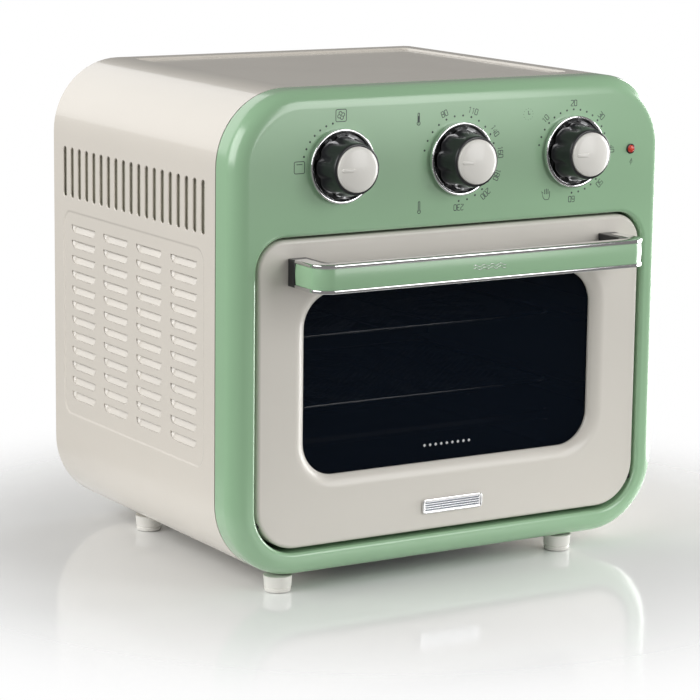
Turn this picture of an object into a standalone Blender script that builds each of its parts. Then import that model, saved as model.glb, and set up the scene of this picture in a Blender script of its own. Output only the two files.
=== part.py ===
"""Countertop air-fryer oven with a drop-down door, three knobs and a top fan.

Metres, +Z up. The front faces -Y and the origin is under the middle of the
whole object, at the level of its feet. Depths called "behind the seam" are
measured along +Y from the joint between the green fascia and the cabinet.
"""

from math import cos, pi, radians, sin

import bmesh
import bpy
from mathutils import Matrix, Vector

# Overall body
WIDTH = 0.320
HEIGHT = 0.300
CABINET_DEPTH = 0.2238
FASCIA_DEPTH = 0.0214
CORNER_RADIUS = 0.047
FOOT_HEIGHT = 0.0105
FOOT_RADIUS = 0.009
BASE_LIP = 0.038

# Sheets and clearances
GAP = 0.0003
SEAM_GAP = 0.001
SHEET = 0.0012
FASCIA_WALL = 0.002
LINER_SHEET = 0.001

# Feet, measured from the sides of the body, from the seam and from the rear
FOOT_IN_LEFT = CORNER_RADIUS - 0.007
FOOT_IN_RIGHT = 0.069
FOOT_AHEAD_OF_SEAM = 0.008
FOOT_IN_REAR = 0.0588
FOOT_TAPER = 0.92
FOOT_EDGE = 0.001

# Fascia edges
BULLNOSE = 0.011
OPENING_FILLET = 0.0025
FLANGE_END = 0.003

# Door
SIDE_STRIP = 0.018
CONTROL_BAND = 0.08985
DOOR_TOP_RADIUS = CORNER_RADIUS - 0.0286
DOOR_LOW_RADIUS = CORNER_RADIUS - 0.019
DOOR_ABOVE_BASE = 0.01795
DOOR_WIDTH = WIDTH - 2 * SIDE_STRIP
DOOR_HEIGHT = HEIGHT - DOOR_ABOVE_BASE - CONTROL_BAND
DOOR_GAP = 0.0016
DOOR_LOW_GAP = 0.0028
DOOR_RECESS = 0.0015
DOOR_THICKNESS = 0.0134
DOOR_EDGE = 0.0025
DOOR_SKIN = 0.0015
HINGE_BELOW_CORNER = 0.0115
HINGE_ABOVE_DOOR_EDGE = DOOR_LOW_RADIUS - HINGE_BELOW_CORNER
PIN_RADIUS = 0.0015
PIN_CLEARANCE = 0.0003
PIN_LENGTH = 0.0165
PIN_INSET = 0.0085
PIN_BEHIND_SKIN = 0.0004
PIN_HOLE_INSET = 0.0015
PIN_HOLE_IN_FASCIA = 0.011
PIN_HOLE_IN_DOOR = 0.012
BRACKET_SHEET = 0.0015
BRACKET_RISE = 0.014

# Window in the door
WINDOW_SIDE_MARGIN = 0.0349
WINDOW_TOP_MARGIN = 0.0346
WINDOW_ABOVE_DOOR_EDGE = 0.0428
WINDOW_WIDTH = DOOR_WIDTH - 2 * WINDOW_SIDE_MARGIN
WINDOW_HEIGHT = DOOR_HEIGHT - WINDOW_ABOVE_DOOR_EDGE - WINDOW_TOP_MARGIN
WINDOW_RADIUS = 0.022
WINDOW_ROLL = 0.010
WINDOW_ROLL_ANGLE = radians(60)
WINDOW_LIP = 0.0015
GLASS_THICKNESS = 0.0035
GLASS_OVERLAP = 0.008
PANEL_SHEET = 0.0008

# Handle
HANDLE_SIDE_MARGIN = 0.0205
HANDLE_BELOW_DOOR_TOP = 0.01945
HANDLE_WIDTH = DOOR_WIDTH - 2 * HANDLE_SIDE_MARGIN
HANDLE_HEIGHT = 0.0175
HANDLE_REACH = 0.0365
HANDLE_THICKNESS = 0.011
HANDLE_CORNER = 0.012
HANDLE_INNER_CORNER = 0.005
HANDLE_END_WIDTH = 0.0127
HANDLE_END_DEPTH = 0.0078
TRIM_BEAD = 0.0022
TRIM_WEB = 0.001
TRIM_BEAD_HEIGHT = 0.002
INSERT_SHEET = 0.0007

# Badge plate
BADGE_WIDTH = 0.045
BADGE_HEIGHT = 0.0092
BADGE_THICKNESS = 0.0012
BADGE_ABOVE_DOOR_EDGE = 0.01555
BADGE_RADIUS = 0.002

# Controls
KNOB_PITCH = 0.26875 * WIDTH
KNOB_BELOW_TOP = 0.0467
BEZEL_RIM = 0.004
KNOB_BASE_RADIUS = 0.0186
KNOB_FRONT_RADIUS = KNOB_BASE_RADIUS - 0.0028
BEZEL_RADIUS = KNOB_BASE_RADIUS + 0.0042
KNOB_LENGTH = 0.0195
KNOB_STANDOFF = 0.0022
KNOB_SCALLOPS = 8
SCALLOP_DEPTH = 0.0013
CAP_RADIUS = KNOB_FRONT_RADIUS - 0.0019
CAP_DOME = 0.0036
CAP_SEAT = 0.0015
SHAFT_RADIUS = 0.003
SHAFT_CLEARANCE = 0.0004
BEZEL_BORE = SHAFT_RADIUS + 0.003
SHAFT_SEAT = 0.005
CONTROL_BODY_DEPTH = 0.030
FUNCTION_HALF_SIZE = (0.016, 0.015)
TEMPERATURE_HALF_SIZE = (0.019, 0.019)
TIMER_HALF_SIZE = (0.022, 0.021)
SHAFT_IN_BODY = 0.022
CONTROL_STANDOFF = 0.0005
HOLDER_WALL = 0.002
HOLDER_DEPTH = 0.018
LAMP_IN = 0.0285
LAMP_X = WIDTH / 2 - LAMP_IN
LAMP_ABOVE_KNOBS = -0.0007
LAMP_RADIUS = 0.0033
LAMP_HOLE_RADIUS = LAMP_RADIUS - 0.0005
LAMP_NECK_RADIUS = LAMP_RADIUS - 0.0009

# Oven cavity
CAVITY_IN_DOOR = 0.018
CAVITY_SHORTER = 0.0233
CAVITY_WIDTH = DOOR_WIDTH - 2 * CAVITY_IN_DOOR
CAVITY_DEPTH = CABINET_DEPTH - CAVITY_SHORTER
CAVITY_SPAN = min(CAVITY_WIDTH, CAVITY_DEPTH)
FLOOR_ABOVE_DOOR_EDGE = 0.02755
CEILING_BELOW_DOOR_TOP = 0.00665
FRAME_FRONT = 0.004
FRAME_MARGIN = 0.0255
FRAME_RADIUS = 0.012
MOUTH_RADIUS = 0.006
MOUTH_CLEARANCE = 0.0005

# Racks, guides and tray
RACK_SHARES = {"upper_rack": 0.59241, "lower_rack": 0.30443}
RACK_WIRE = 0.003
RACK_SIDE_GAP = 0.0115
RACK_WIDTH = CAVITY_WIDTH - 2 * RACK_SIDE_GAP
RACK_FRONT = 0.030
RACK_REAR_GAP = 0.0055
RACK_DEPTH = CAVITY_DEPTH - RACK_FRONT - RACK_REAR_GAP
RACK_RADIUS = 0.008
RACK_BARS = 9
GUIDE_REACH = 0.0135
GUIDE_SHEET = 0.0008
GUIDE_CLEARANCE = 0.0006
GUIDE_END_SHARE = 0.076
GUIDE_IN_FRONT = 0.004
GUIDE_IN_REAR = 0.006
TRAY_SIDE_GAP = 0.006
TRAY_WIDTH = CAVITY_WIDTH - 2 * TRAY_SIDE_GAP
TRAY_FRONT = 0.008
TRAY_REAR_GAP = 0.0025
TRAY_DEPTH = CAVITY_DEPTH - TRAY_FRONT - TRAY_REAR_GAP
TRAY_RIM = 0.0075
TRAY_FLARE = 0.003

# Heaters
HEATER_RADIUS = 0.0033
HEATER_CLEARANCE = 0.0012
LOWER_HEATER_RISE = 0.019
LOWER_HEATER_SHARES = {"heater_lower_front": 0.25, "heater_lower_rear": 0.72}
HEATER_END = 0.008
BULB_DROP = 0.010
BULB_AHEAD = 0.045
BULB_BEHIND = 0.035
TOP_HEATER_DROP = 0.014
TOP_HEATER_RADIUS = 0.389 * CAVITY_SPAN
TOP_HEATER_TAILS = 0.024

# Fan and motor
FAN_BLADE_RADIUS = 0.28 * CAVITY_SPAN
FAN_BLADE_DROP = 0.0095
FAN_BLADE_HEIGHT = 0.009
COOLING_FAN_RADIUS = 0.24 * CAVITY_SPAN
COOLING_FAN_RISE = 0.0095
HUB_RADIUS = 0.012
BLADE_COUNT = 6
BLADE_SHEET = 0.0012
BLADE_TILT = radians(34)
FAN_SHAFT_RADIUS = 0.0025
FAN_SHAFT_CLEARANCE = 0.0004
FAN_SHAFT_HOLE = FAN_SHAFT_RADIUS + 0.003
FAN_SHAFT_END_GAP = 0.001
GUARD_RADIUS = 0.489 * CAVITY_SPAN
GUARD_DROP = 0.026
GUARD_SLOTS = 12
GUARD_POST_RADIUS = 0.0022
BRIDGE_HEIGHT = 0.0235
BRIDGE_HALF_SPAN = COOLING_FAN_RADIUS + 0.012
BRIDGE_BORE = 0.006
BRIDGE_FOOT = 0.012
BRIDGE_DEPTH = 0.032
MOTOR_RADIUS = 0.029
MOTOR_HEIGHT = 0.033
FAN_SHAFT_IN_MOTOR = 0.024

# Vents in the cabinet sides
SLOT_COUNT = 19
SLOT_FIRST = 0.0165
SLOT_PITCH = (CABINET_DEPTH - 2 * SLOT_FIRST) / (SLOT_COUNT - 1)
SLOT_LENGTH = 0.033
SLOT_WIDTH = 0.0048
SLOT_CENTRE_BELOW_TOP = 0.072
LOUVRE_COLUMNS = 4
LOUVRE_COLUMN_GAP = 0.01247
LOUVRE_MARGIN = 0.0252
LOUVRE_ROWS = 12
LOUVRE_LOWEST = 0.0791
LOUVRE_BELOW_SLOTS = 0.02053
LOUVRE_OPENING = 0.0036
LOUVRE_SPAN = CABINET_DEPTH - 2 * LOUVRE_MARGIN + LOUVRE_COLUMN_GAP
LOUVRE_COLUMN_PITCH = LOUVRE_SPAN / LOUVRE_COLUMNS
LOUVRE_LENGTH = LOUVRE_COLUMN_PITCH - LOUVRE_COLUMN_GAP
LOUVRE_HIGHEST = HEIGHT - SLOT_CENTRE_BELOW_TOP - SLOT_LENGTH / 2 - LOUVRE_BELOW_SLOTS
LOUVRE_ROW_PITCH = (LOUVRE_HIGHEST - LOUVRE_LOWEST) / (LOUVRE_ROWS - 1)

# Vents in the base
BASE_SLOTS = 6
BASE_SLOT_PITCH = 0.08 * CABINET_DEPTH
BASE_SLOT_FIRST = 0.3 * CABINET_DEPTH
BASE_SLOT_SHARE = 0.6

# Rear
GLAND_REACH = 0.006
GLAND_RADIUS = 0.011
GLAND_NECK = 0.007
GLAND_BORE = 0.0042
GLAND_IN = 0.048
GLAND_X = WIDTH / 2 - GLAND_IN
GLAND_FLANGE = 0.004
GLAND_EDGE = 0.0015
GLAND_CLIP_RADIUS = GLAND_RADIUS - 0.001
GLAND_ABOVE_BASE = 0.026
REAR_SLOTS = 9
REAR_SLOT_PITCH = 0.0367 * HEIGHT
REAR_SLOT_RISE = 0.1 * HEIGHT
REAR_SLOT_START = 0.0625 * WIDTH
REAR_SLOT_LENGTH = 0.21875 * WIDTH
TERMINAL_IN_REAR = 0.012
TERMINAL_IN_SIDE = 0.005
TERMINAL_SIZE = Vector((0.040, 0.018, 0.014))
CUTOUT_RADIUS = 0.008
CUTOUT_HEIGHT = 0.010
CUTOUT_BEHIND_SEAM = 0.05

# Where things lie, worked out from the sizes above
BODY_BOTTOM = FOOT_HEIGHT
BODY_TOP = FOOT_HEIGHT + HEIGHT
BODY_MIDDLE = FOOT_HEIGHT + HEIGHT / 2
FRONT_REACH = FASCIA_DEPTH + HANDLE_REACH
REAR_REACH = CABINET_DEPTH + GLAND_REACH
SEAM_Y = (FRONT_REACH - REAR_REACH) / 2
FASCIA_FRONT = SEAM_Y - FASCIA_DEPTH
DOOR_FRONT = FASCIA_FRONT + DOOR_RECESS
DOOR_BACK = DOOR_FRONT + DOOR_THICKNESS
DOOR_BOTTOM = BODY_BOTTOM + DOOR_ABOVE_BASE
WINDOW_MIDDLE = DOOR_BOTTOM + WINDOW_ABOVE_DOOR_EDGE + WINDOW_HEIGHT / 2
HINGE_Y = DOOR_FRONT + DOOR_SKIN + PIN_BEHIND_SKIN + PIN_RADIUS
HINGE_Z = DOOR_BOTTOM + HINGE_ABOVE_DOOR_EDGE
HANDLE_Z = DOOR_BOTTOM + DOOR_HEIGHT - HANDLE_BELOW_DOOR_TOP
KNOB_Z = BODY_TOP - KNOB_BELOW_TOP
KNOB_X = {"function": -KNOB_PITCH, "temperature": 0.0, "timer": KNOB_PITCH}
CONTROL_FRONT = FASCIA_FRONT + FASCIA_WALL + CONTROL_STANDOFF
FRAME_BACK = SEAM_Y + FRAME_FRONT + SHEET
CAVITY_FRONT = FRAME_BACK + GAP
CAVITY_BACK = CAVITY_FRONT + CAVITY_DEPTH
CAVITY_FLOOR = DOOR_BOTTOM + FLOOR_ABOVE_DOOR_EDGE
CAVITY_CEILING = DOOR_BOTTOM + DOOR_HEIGHT - CEILING_BELOW_DOOR_TOP
CAVITY_HEIGHT = CAVITY_CEILING - CAVITY_FLOOR
RACK_LEVELS = {name: CAVITY_FLOOR + share * CAVITY_HEIGHT for name, share in RACK_SHARES.items()}
LOWER_HEATERS = {
    name: (CAVITY_FRONT + share * CAVITY_DEPTH, CAVITY_FLOOR + LOWER_HEATER_RISE)
    for name, share in LOWER_HEATER_SHARES.items()
}
LINER_TOP = CAVITY_CEILING + GAP + LINER_SHEET
FAN_Y = (CAVITY_FRONT + CAVITY_BACK) / 2
MOTOR_BOTTOM = LINER_TOP + GAP + BRIDGE_HEIGHT + GAP

RING_SEGMENTS = 4
TURN_STEPS = 24

# Turns of a flat outline: its own x and y go to the two named axes
FLAT_TURNS = {
    "XY": Matrix.Identity(3),
    "XZ": Matrix(((1, 0, 0), (0, 0, -1), (0, 1, 0))),
    "YZ": Matrix(((0, 0, 1), (1, 0, 0), (0, 1, 0))),
}
THROUGH_AXIS = {"XY": 2, "XZ": 1, "YZ": 0}


def clear_scene():
    for obj in list(bpy.data.objects):
        bpy.data.objects.remove(obj, do_unlink=True)


def new_collection(name):
    collection = bpy.data.collections.new(name)
    bpy.context.scene.collection.children.link(collection)
    return collection


def finish(name, colour, roughness, metallic=0.0):
    material = bpy.data.materials.new(name)
    material.use_nodes = True
    shader = material.node_tree.nodes["Principled BSDF"]
    shader.inputs["Base Color"].default_value = (*colour, 1.0)
    shader.inputs["Roughness"].default_value = roughness
    shader.inputs["Metallic"].default_value = metallic
    material.diffuse_color = (*colour, 1.0)
    return material


# Outlines


def arc(centre, radius, start, end, steps):
    """Points on an arc, both ends included, with angles in degrees."""
    angles = [radians(start + (end - start) * i / steps) for i in range(steps + 1)]
    return [(centre[0] + radius * cos(a), centre[1] + radius * sin(a)) for a in angles]


def rounded_rectangle(half_width, half_height, radius, centre=(0.0, 0.0), steps=RING_SEGMENTS):
    """A closed outline, anticlockwise, whose corners are arcs."""
    low = (centre[0] - half_width, centre[1] - half_height)
    high = (centre[0] + half_width, centre[1] + half_height)
    return rounded_box(low, high, radius, radius, steps)


def rounded_box(low, high, top_radius, low_radius, steps=RING_SEGMENTS):
    """A rounded rectangle between two corners, with its own radius above and below."""
    corners = (
        (high[0] - top_radius, high[1] - top_radius, top_radius),
        (low[0] + top_radius, high[1] - top_radius, top_radius),
        (low[0] + low_radius, low[1] + low_radius, low_radius),
        (high[0] - low_radius, low[1] + low_radius, low_radius),
    )
    points = []
    for turn, (x, y, radius) in enumerate(corners):
        points += arc((x, y), radius, 90 * turn, 90 * turn + 90, steps)
    return points


def rectangle(low, high):
    return [low, (high[0], low[1]), high, (low[0], high[1])]


def circle(centre, radius, steps=16):
    return arc(centre, radius, 0, 360, steps)[:-1]


# Solids


def place(obj, material):
    obj.data.materials.append(material)
    PARTS.objects.link(obj)
    return obj


def shade(mesh):
    mesh.shade_smooth()
    mesh.set_sharp_from_angle(angle=radians(32))


def mesh_object(name, bm, material):
    """A node from a bmesh, which is freed."""
    mesh = bpy.data.meshes.new(name)
    bm.to_mesh(mesh)
    bm.free()
    shade(mesh)
    return place(bpy.data.objects.new(name, mesh), material)


def curve_to_mesh(name, curve, turn, shift, material):
    """A node from a curve, with its caps welded and its faces pointing out."""
    guide = bpy.data.objects.new(name + "_curve", curve)
    guide.matrix_world = Matrix.Translation(shift) @ turn.to_4x4()
    bpy.context.scene.collection.objects.link(guide)
    graph = bpy.context.evaluated_depsgraph_get()
    mesh = bpy.data.meshes.new_from_object(guide.evaluated_get(graph))
    bm = bmesh.new()
    bm.from_mesh(mesh)
    bmesh.ops.remove_doubles(bm, verts=bm.verts, dist=1e-6)
    bmesh.ops.recalc_face_normals(bm, faces=bm.faces)
    bm.to_mesh(mesh)
    bm.free()
    shade(mesh)
    mesh.materials.clear()
    obj = bpy.data.objects.new(name, mesh)
    obj.matrix_world = guide.matrix_world.copy()
    bpy.data.objects.remove(guide, do_unlink=True)
    return place(obj, material)


def add_spline(curve, points, cyclic):
    spline = curve.splines.new("POLY")
    spline.points.add(len(points) - 1)
    for point, co in zip(spline.points, points):
        point.co = (*co, *([0.0] * (3 - len(co))), 1.0)
    spline.use_cyclic_u = cyclic


def slab(name, outlines, low, high, plane, material):
    """A flat piece between two levels; every outline after the first is a hole."""
    curve = bpy.data.curves.new(name, "CURVE")
    curve.dimensions = "2D"
    curve.fill_mode = "BOTH"
    curve.extrude = (high - low) / 2
    for points in outlines:
        add_spline(curve, points, True)
    shift = Vector((0, 0, 0))
    shift[THROUGH_AXIS[plane]] = (low + high) / 2
    return curve_to_mesh(name, curve, FLAT_TURNS[plane], shift, material)


def tube(name, points, radius, material):
    """A round rod along straight stretches between the points."""
    curve = bpy.data.curves.new(name, "CURVE")
    curve.dimensions = "3D"
    curve.bevel_depth = radius
    curve.bevel_resolution = 2
    curve.use_fill_caps = True
    add_spline(curve, points, False)
    return curve_to_mesh(name, curve, Matrix.Identity(3), Vector((0, 0, 0)), material)


def turned(name, profile, at, material, facing="front", closed=False, steps=TURN_STEPS):
    """A turned solid. The profile holds (radius, height) down its outer side."""
    bm = bmesh.new()
    verts = [bm.verts.new((radius, 0, height)) for radius, height in profile]
    for first, second in zip(verts, verts[1:]):
        bm.edges.new((first, second))
    if closed:
        bm.edges.new((verts[-1], verts[0]))
    obj = mesh_object(name, bm, material)
    obj.location = at
    obj.rotation_euler = {"front": (pi / 2, 0, 0), "up": (0, 0, 0), "rear": (-pi / 2, 0, 0)}[facing]
    screw = obj.modifiers.new("turn", "SCREW")
    screw.steps = steps
    screw.render_steps = steps
    screw.use_merge_vertices = True
    screw.merge_threshold = 1e-6
    screw.use_smooth_shade = True
    return obj


def block(name, low, high, material, bevel=0.0):
    """A box between two corners, with its edges rounded."""
    bm = bmesh.new()
    bmesh.ops.create_cube(bm, size=1.0)
    size = Vector(high) - Vector(low)
    bmesh.ops.scale(bm, vec=size, verts=bm.verts)
    obj = mesh_object(name, bm, material)
    obj.location = (Vector(low) + Vector(high)) / 2
    if bevel:
        rounding = obj.modifiers.new("rounded edges", "BEVEL")
        rounding.width = bevel
        rounding.segments = 2
    return obj


def lofted(name, rings, material, capped="both"):
    """Rings of the same number of points joined in order, closed at both ends, the last or none."""
    bm = bmesh.new()
    loops = [[bm.verts.new(point) for point in ring] for ring in rings]
    for near, far in zip(loops, loops[1:]):
        for i in range(len(near)):
            j = (i + 1) % len(near)
            bm.faces.new((near[i], near[j], far[j], far[i]))
    if capped != "none":
        bm.faces.new(loops[-1])
    if capped == "both":
        bm.faces.new(list(reversed(loops[0])))
        bmesh.ops.recalc_face_normals(bm, faces=bm.faces)
    return mesh_object(name, bm, material)


def add_wall(obj, thickness):
    """Thickness behind an open surface whose faces point out."""
    wall = obj.modifiers.new("wall", "SOLIDIFY")
    wall.thickness = thickness
    wall.offset = -1.0
    wall.use_even_offset = True
    wall.use_quality_normals = True
    return obj


# Cutters


def as_cutter(obj):
    PARTS.objects.unlink(obj)
    CUTTERS.objects.link(obj)
    obj.hide_render = True
    obj.display_type = "WIRE"
    return obj


def combine(obj, other, operation):
    boolean = obj.modifiers.new(operation.lower(), "BOOLEAN")
    boolean.operation = operation
    boolean.object = as_cutter(other)
    return obj


def cut(obj, cutter):
    return combine(obj, cutter, "DIFFERENCE")


def join(obj, other):
    return combine(obj, other, "UNION")


def box_cutter(name, boxes):
    """One cutter from several boxes, each given by its two corners."""
    bm = bmesh.new()
    for low, high in boxes:
        made = bmesh.ops.create_cube(bm, size=1.0)["verts"]
        bmesh.ops.scale(bm, vec=Vector(high) - Vector(low), verts=made)
        bmesh.ops.translate(bm, vec=(Vector(low) + Vector(high)) / 2, verts=made)
    return mesh_object(name, bm, STEEL)


def rod_cutter(name, rods, axis, steps=16):
    """One cutter from several rods along an axis: (middle, radius, length)."""
    turns = {
        "X": Matrix.Rotation(pi / 2, 3, "Y"),
        "Y": Matrix.Rotation(pi / 2, 3, "X"),
        "Z": Matrix.Identity(3),
    }
    bm = bmesh.new()
    for middle, radius, length in rods:
        made = bmesh.ops.create_cone(
            bm, cap_ends=True, segments=steps, radius1=radius, radius2=radius, depth=length
        )["verts"]
        matrix = Matrix.Translation(middle) @ turns[axis].to_4x4()
        bmesh.ops.transform(bm, matrix=matrix, verts=made)
    return mesh_object(name, bm, STEEL)


# Casing


def body_outline(inset):
    return rounded_rectangle(
        WIDTH / 2 - inset, HEIGHT / 2 - inset, CORNER_RADIUS - inset, (0, BODY_MIDDLE)
    )


def base_half_width():
    """Half the width of the open bottom of the wrap."""
    return WIDTH / 2 - CORNER_RADIUS - BASE_LIP


def cabinet_wrap():
    """The bent sheet round both sides and the top, ending under the body."""
    edge = base_half_width()
    outer = body_outline(0)
    inner = body_outline(SHEET)
    # The outline starts at the right side and runs anticlockwise to the bottom.
    corner = RING_SEGMENTS + 1
    outer = outer[3 * corner :] + outer[: 3 * corner]
    inner = inner[3 * corner :] + inner[: 3 * corner]
    outline = [(edge, BODY_BOTTOM)] + outer + [(-edge, BODY_BOTTOM)]
    outline += [(-edge, BODY_BOTTOM + SHEET)] + inner[::-1] + [(edge, BODY_BOTTOM + SHEET)]
    wrap = slab("cabinet_wrap", [outline], SEAM_Y + SEAM_GAP, SEAM_Y + CABINET_DEPTH, "XZ", CREAM)
    cut(wrap, box_cutter("cabinet_slot_cutter", side_slots()))
    return cut(wrap, box_cutter("cabinet_louvre_cutter", side_louvres()))


def side_slots():
    middle = BODY_TOP - SLOT_CENTRE_BELOW_TOP
    boxes = []
    for i in range(SLOT_COUNT):
        y = SEAM_Y + SLOT_FIRST + i * SLOT_PITCH
        low = (-WIDTH, y - SLOT_WIDTH / 2, middle - SLOT_LENGTH / 2)
        high = (WIDTH, y + SLOT_WIDTH / 2, middle + SLOT_LENGTH / 2)
        boxes.append((low, high))
    return boxes


def side_louvres():
    boxes = []
    for column in range(LOUVRE_COLUMNS):
        y = SEAM_Y + LOUVRE_MARGIN + LOUVRE_LENGTH / 2 + column * LOUVRE_COLUMN_PITCH
        for row in range(LOUVRE_ROWS):
            z = BODY_BOTTOM + LOUVRE_LOWEST + row * LOUVRE_ROW_PITCH
            low = (-WIDTH, y - LOUVRE_LENGTH / 2, z - LOUVRE_OPENING / 2)
            high = (WIDTH, y + LOUVRE_LENGTH / 2, z + LOUVRE_OPENING / 2)
            boxes.append((low, high))
    return boxes


def base_plate():
    half = base_half_width() - GAP
    outline = rectangle(
        (-half, SEAM_Y + SEAM_GAP), (half, SEAM_Y + CABINET_DEPTH - 2 * SHEET)
    )
    slots = []
    reach = half * BASE_SLOT_SHARE
    for i in range(BASE_SLOTS):
        y = SEAM_Y + BASE_SLOT_FIRST + i * BASE_SLOT_PITCH
        slots.append(rectangle((-reach, y), (reach, y + SLOT_WIDTH)))
    return slab("base_plate", [outline] + slots, BODY_BOTTOM, BODY_BOTTOM + SHEET, "XY", STEEL)


def rear_cover():
    outlines = [body_outline(SHEET + GAP)]
    for side in (-1, 1):
        for i in range(REAR_SLOTS):
            z = BODY_MIDDLE + REAR_SLOT_RISE + i * REAR_SLOT_PITCH
            low = min(side * REAR_SLOT_START, side * (REAR_SLOT_START + REAR_SLOT_LENGTH))
            outlines.append(rectangle((low, z), (low + REAR_SLOT_LENGTH, z + SLOT_WIDTH)))
    outlines.append(circle((GLAND_X, BODY_BOTTOM + GLAND_ABOVE_BASE), GLAND_NECK + GAP))
    back = SEAM_Y + CABINET_DEPTH - GAP
    return slab("rear_cover", outlines, back - SHEET, back, "XZ", CREAM)


def cord_gland():
    """The sleeve that the mains lead would leave through, gripping the rear sheet."""
    face = GLAND_REACH
    sheet_back = -GAP
    sheet_front = sheet_back - SHEET
    profile = [
        (GLAND_RADIUS * 0.8, face),
        (GLAND_RADIUS, face - GLAND_EDGE),
        (GLAND_RADIUS, sheet_back + GAP),
        (GLAND_NECK, sheet_back + GAP),
        (GLAND_NECK, sheet_front - GAP),
        (GLAND_CLIP_RADIUS, sheet_front - GAP),
        (GLAND_CLIP_RADIUS, sheet_front - GLAND_FLANGE),
        (GLAND_BORE, sheet_front - GLAND_FLANGE),
        (GLAND_BORE, face),
    ]
    at = (GLAND_X, SEAM_Y + CABINET_DEPTH, BODY_BOTTOM + GLAND_ABOVE_BASE)
    return turned("cord_gland", profile, at, BLACK, facing="rear", closed=True, steps=16)


def body_ring(inset, y):
    return [(x, y, z) for x, z in body_outline(inset)]


def opening_ring(outset, y):
    side = DOOR_WIDTH / 2 + DOOR_GAP + outset
    outline = rounded_box(
        (-side, DOOR_BOTTOM - DOOR_LOW_GAP - outset),
        (side, DOOR_BOTTOM + DOOR_HEIGHT + DOOR_GAP + outset),
        DOOR_TOP_RADIUS + DOOR_GAP + outset,
        DOOR_LOW_RADIUS + DOOR_GAP + outset,
    )
    return [(x, y, z) for x, z in outline]


def front_fascia():
    """The green front: a skirt, a bullnose, the face and a flange into the door opening."""
    rings = [body_ring(0, SEAM_Y)]
    for step in range(5):
        a = radians(22.5 * step)
        rings.append(body_ring(BULLNOSE * (1 - cos(a)), FASCIA_FRONT + BULLNOSE * (1 - sin(a))))
    for step in range(4):
        a = radians(30 * step)
        outset = OPENING_FILLET * (1 - sin(a))
        rings.append(opening_ring(outset, FASCIA_FRONT + OPENING_FILLET * (1 - cos(a))))
    rings.append(opening_ring(0, SEAM_Y + FLANGE_END))
    fascia = add_wall(lofted("front_fascia", rings, GREEN, capped="none"), FASCIA_WALL)
    hole = SHAFT_RADIUS + 2 * SHAFT_CLEARANCE
    rods = [((x, FASCIA_FRONT, KNOB_Z), hole, 4 * FASCIA_WALL) for x in KNOB_X.values()]
    lamp = (LAMP_X, FASCIA_FRONT, KNOB_Z + LAMP_ABOVE_KNOBS)
    rods.append((lamp, LAMP_HOLE_RADIUS, 4 * FASCIA_WALL))
    cut(fascia, rod_cutter("fascia_hole_cutter", rods, "Y"))
    beside = DOOR_WIDTH / 2 + PIN_HOLE_INSET
    return cut(fascia, pin_hole_cutter("fascia_pin_cutter", beside, PIN_HOLE_IN_FASCIA))


def foot(name, x, y):
    base = FOOT_RADIUS * FOOT_TAPER
    profile = [
        (0, FOOT_HEIGHT - GAP),
        (FOOT_RADIUS, FOOT_HEIGHT - GAP),
        (base, FOOT_EDGE),
        (base - FOOT_EDGE, 0),
        (0, 0),
    ]
    return turned(name, profile, (x, y, 0), FOOT_CREAM, facing="up")


def feet():
    sides = {"left": FOOT_IN_LEFT - WIDTH / 2, "right": WIDTH / 2 - FOOT_IN_RIGHT}
    rows = {"front": SEAM_Y - FOOT_AHEAD_OF_SEAM, "rear": SEAM_Y + CABINET_DEPTH - FOOT_IN_REAR}
    for row, y in rows.items():
        for side, x in sides.items():
            foot("foot_" + row + "_" + side, x, y)


def front_frame():
    """The steel frame behind the door that carries the cavity and the hinges."""
    low = CAVITY_FLOOR - FRAME_MARGIN
    high = CAVITY_CEILING + FRAME_MARGIN / 2
    outer = rounded_rectangle(
        CAVITY_WIDTH / 2 + FRAME_MARGIN,
        (high - low) / 2,
        FRAME_RADIUS,
        (0, (high + low) / 2),
    )
    mouth = rounded_rectangle(
        CAVITY_WIDTH / 2 + MOUTH_CLEARANCE,
        CAVITY_HEIGHT / 2 + MOUTH_CLEARANCE,
        MOUTH_RADIUS,
        (0, (CAVITY_CEILING + CAVITY_FLOOR) / 2),
        steps=3,
    )
    front = SEAM_Y + FRAME_FRONT
    return slab("front_frame", [outer, mouth], front, front + SHEET, "XZ", STEEL)


# Cavity


def liner():
    """The five plates of the cavity."""
    half = CAVITY_WIDTH / 2
    outer = half + LINER_SHEET
    floor = CAVITY_FLOOR - GAP
    side = rectangle((CAVITY_FRONT, CAVITY_FLOOR), (CAVITY_BACK, CAVITY_CEILING))
    heater_hole = HEATER_RADIUS + HEATER_CLEARANCE
    holes = [
        circle(place_behind, heater_hole, 12)
        for place_behind in LOWER_HEATERS.values()
    ]
    slab("liner_left", [side] + holes, -outer, -half, "YZ", LINER)
    slab("liner_right", [side] + holes, half, outer, "YZ", LINER)
    plan = rectangle((-outer, CAVITY_FRONT), (outer, CAVITY_BACK))
    shaft_hole = circle((0, FAN_Y), FAN_SHAFT_HOLE, 12)
    slab("liner_top", [plan, shaft_hole], LINER_TOP - LINER_SHEET, LINER_TOP, "XY", LINER)
    slab("liner_floor", [plan], floor - LINER_SHEET, floor, "XY", LINER)
    back = rectangle((-outer, floor - LINER_SHEET), (outer, LINER_TOP))
    tails = [
        circle((side * TOP_HEATER_TAILS / 2, CAVITY_CEILING - TOP_HEATER_DROP), heater_hole, 12)
        for side in (-1, 1)
    ]
    behind = CAVITY_BACK + GAP
    slab("liner_back", [back] + tails, behind, behind + LINER_SHEET, "XZ", LINER)


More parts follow.
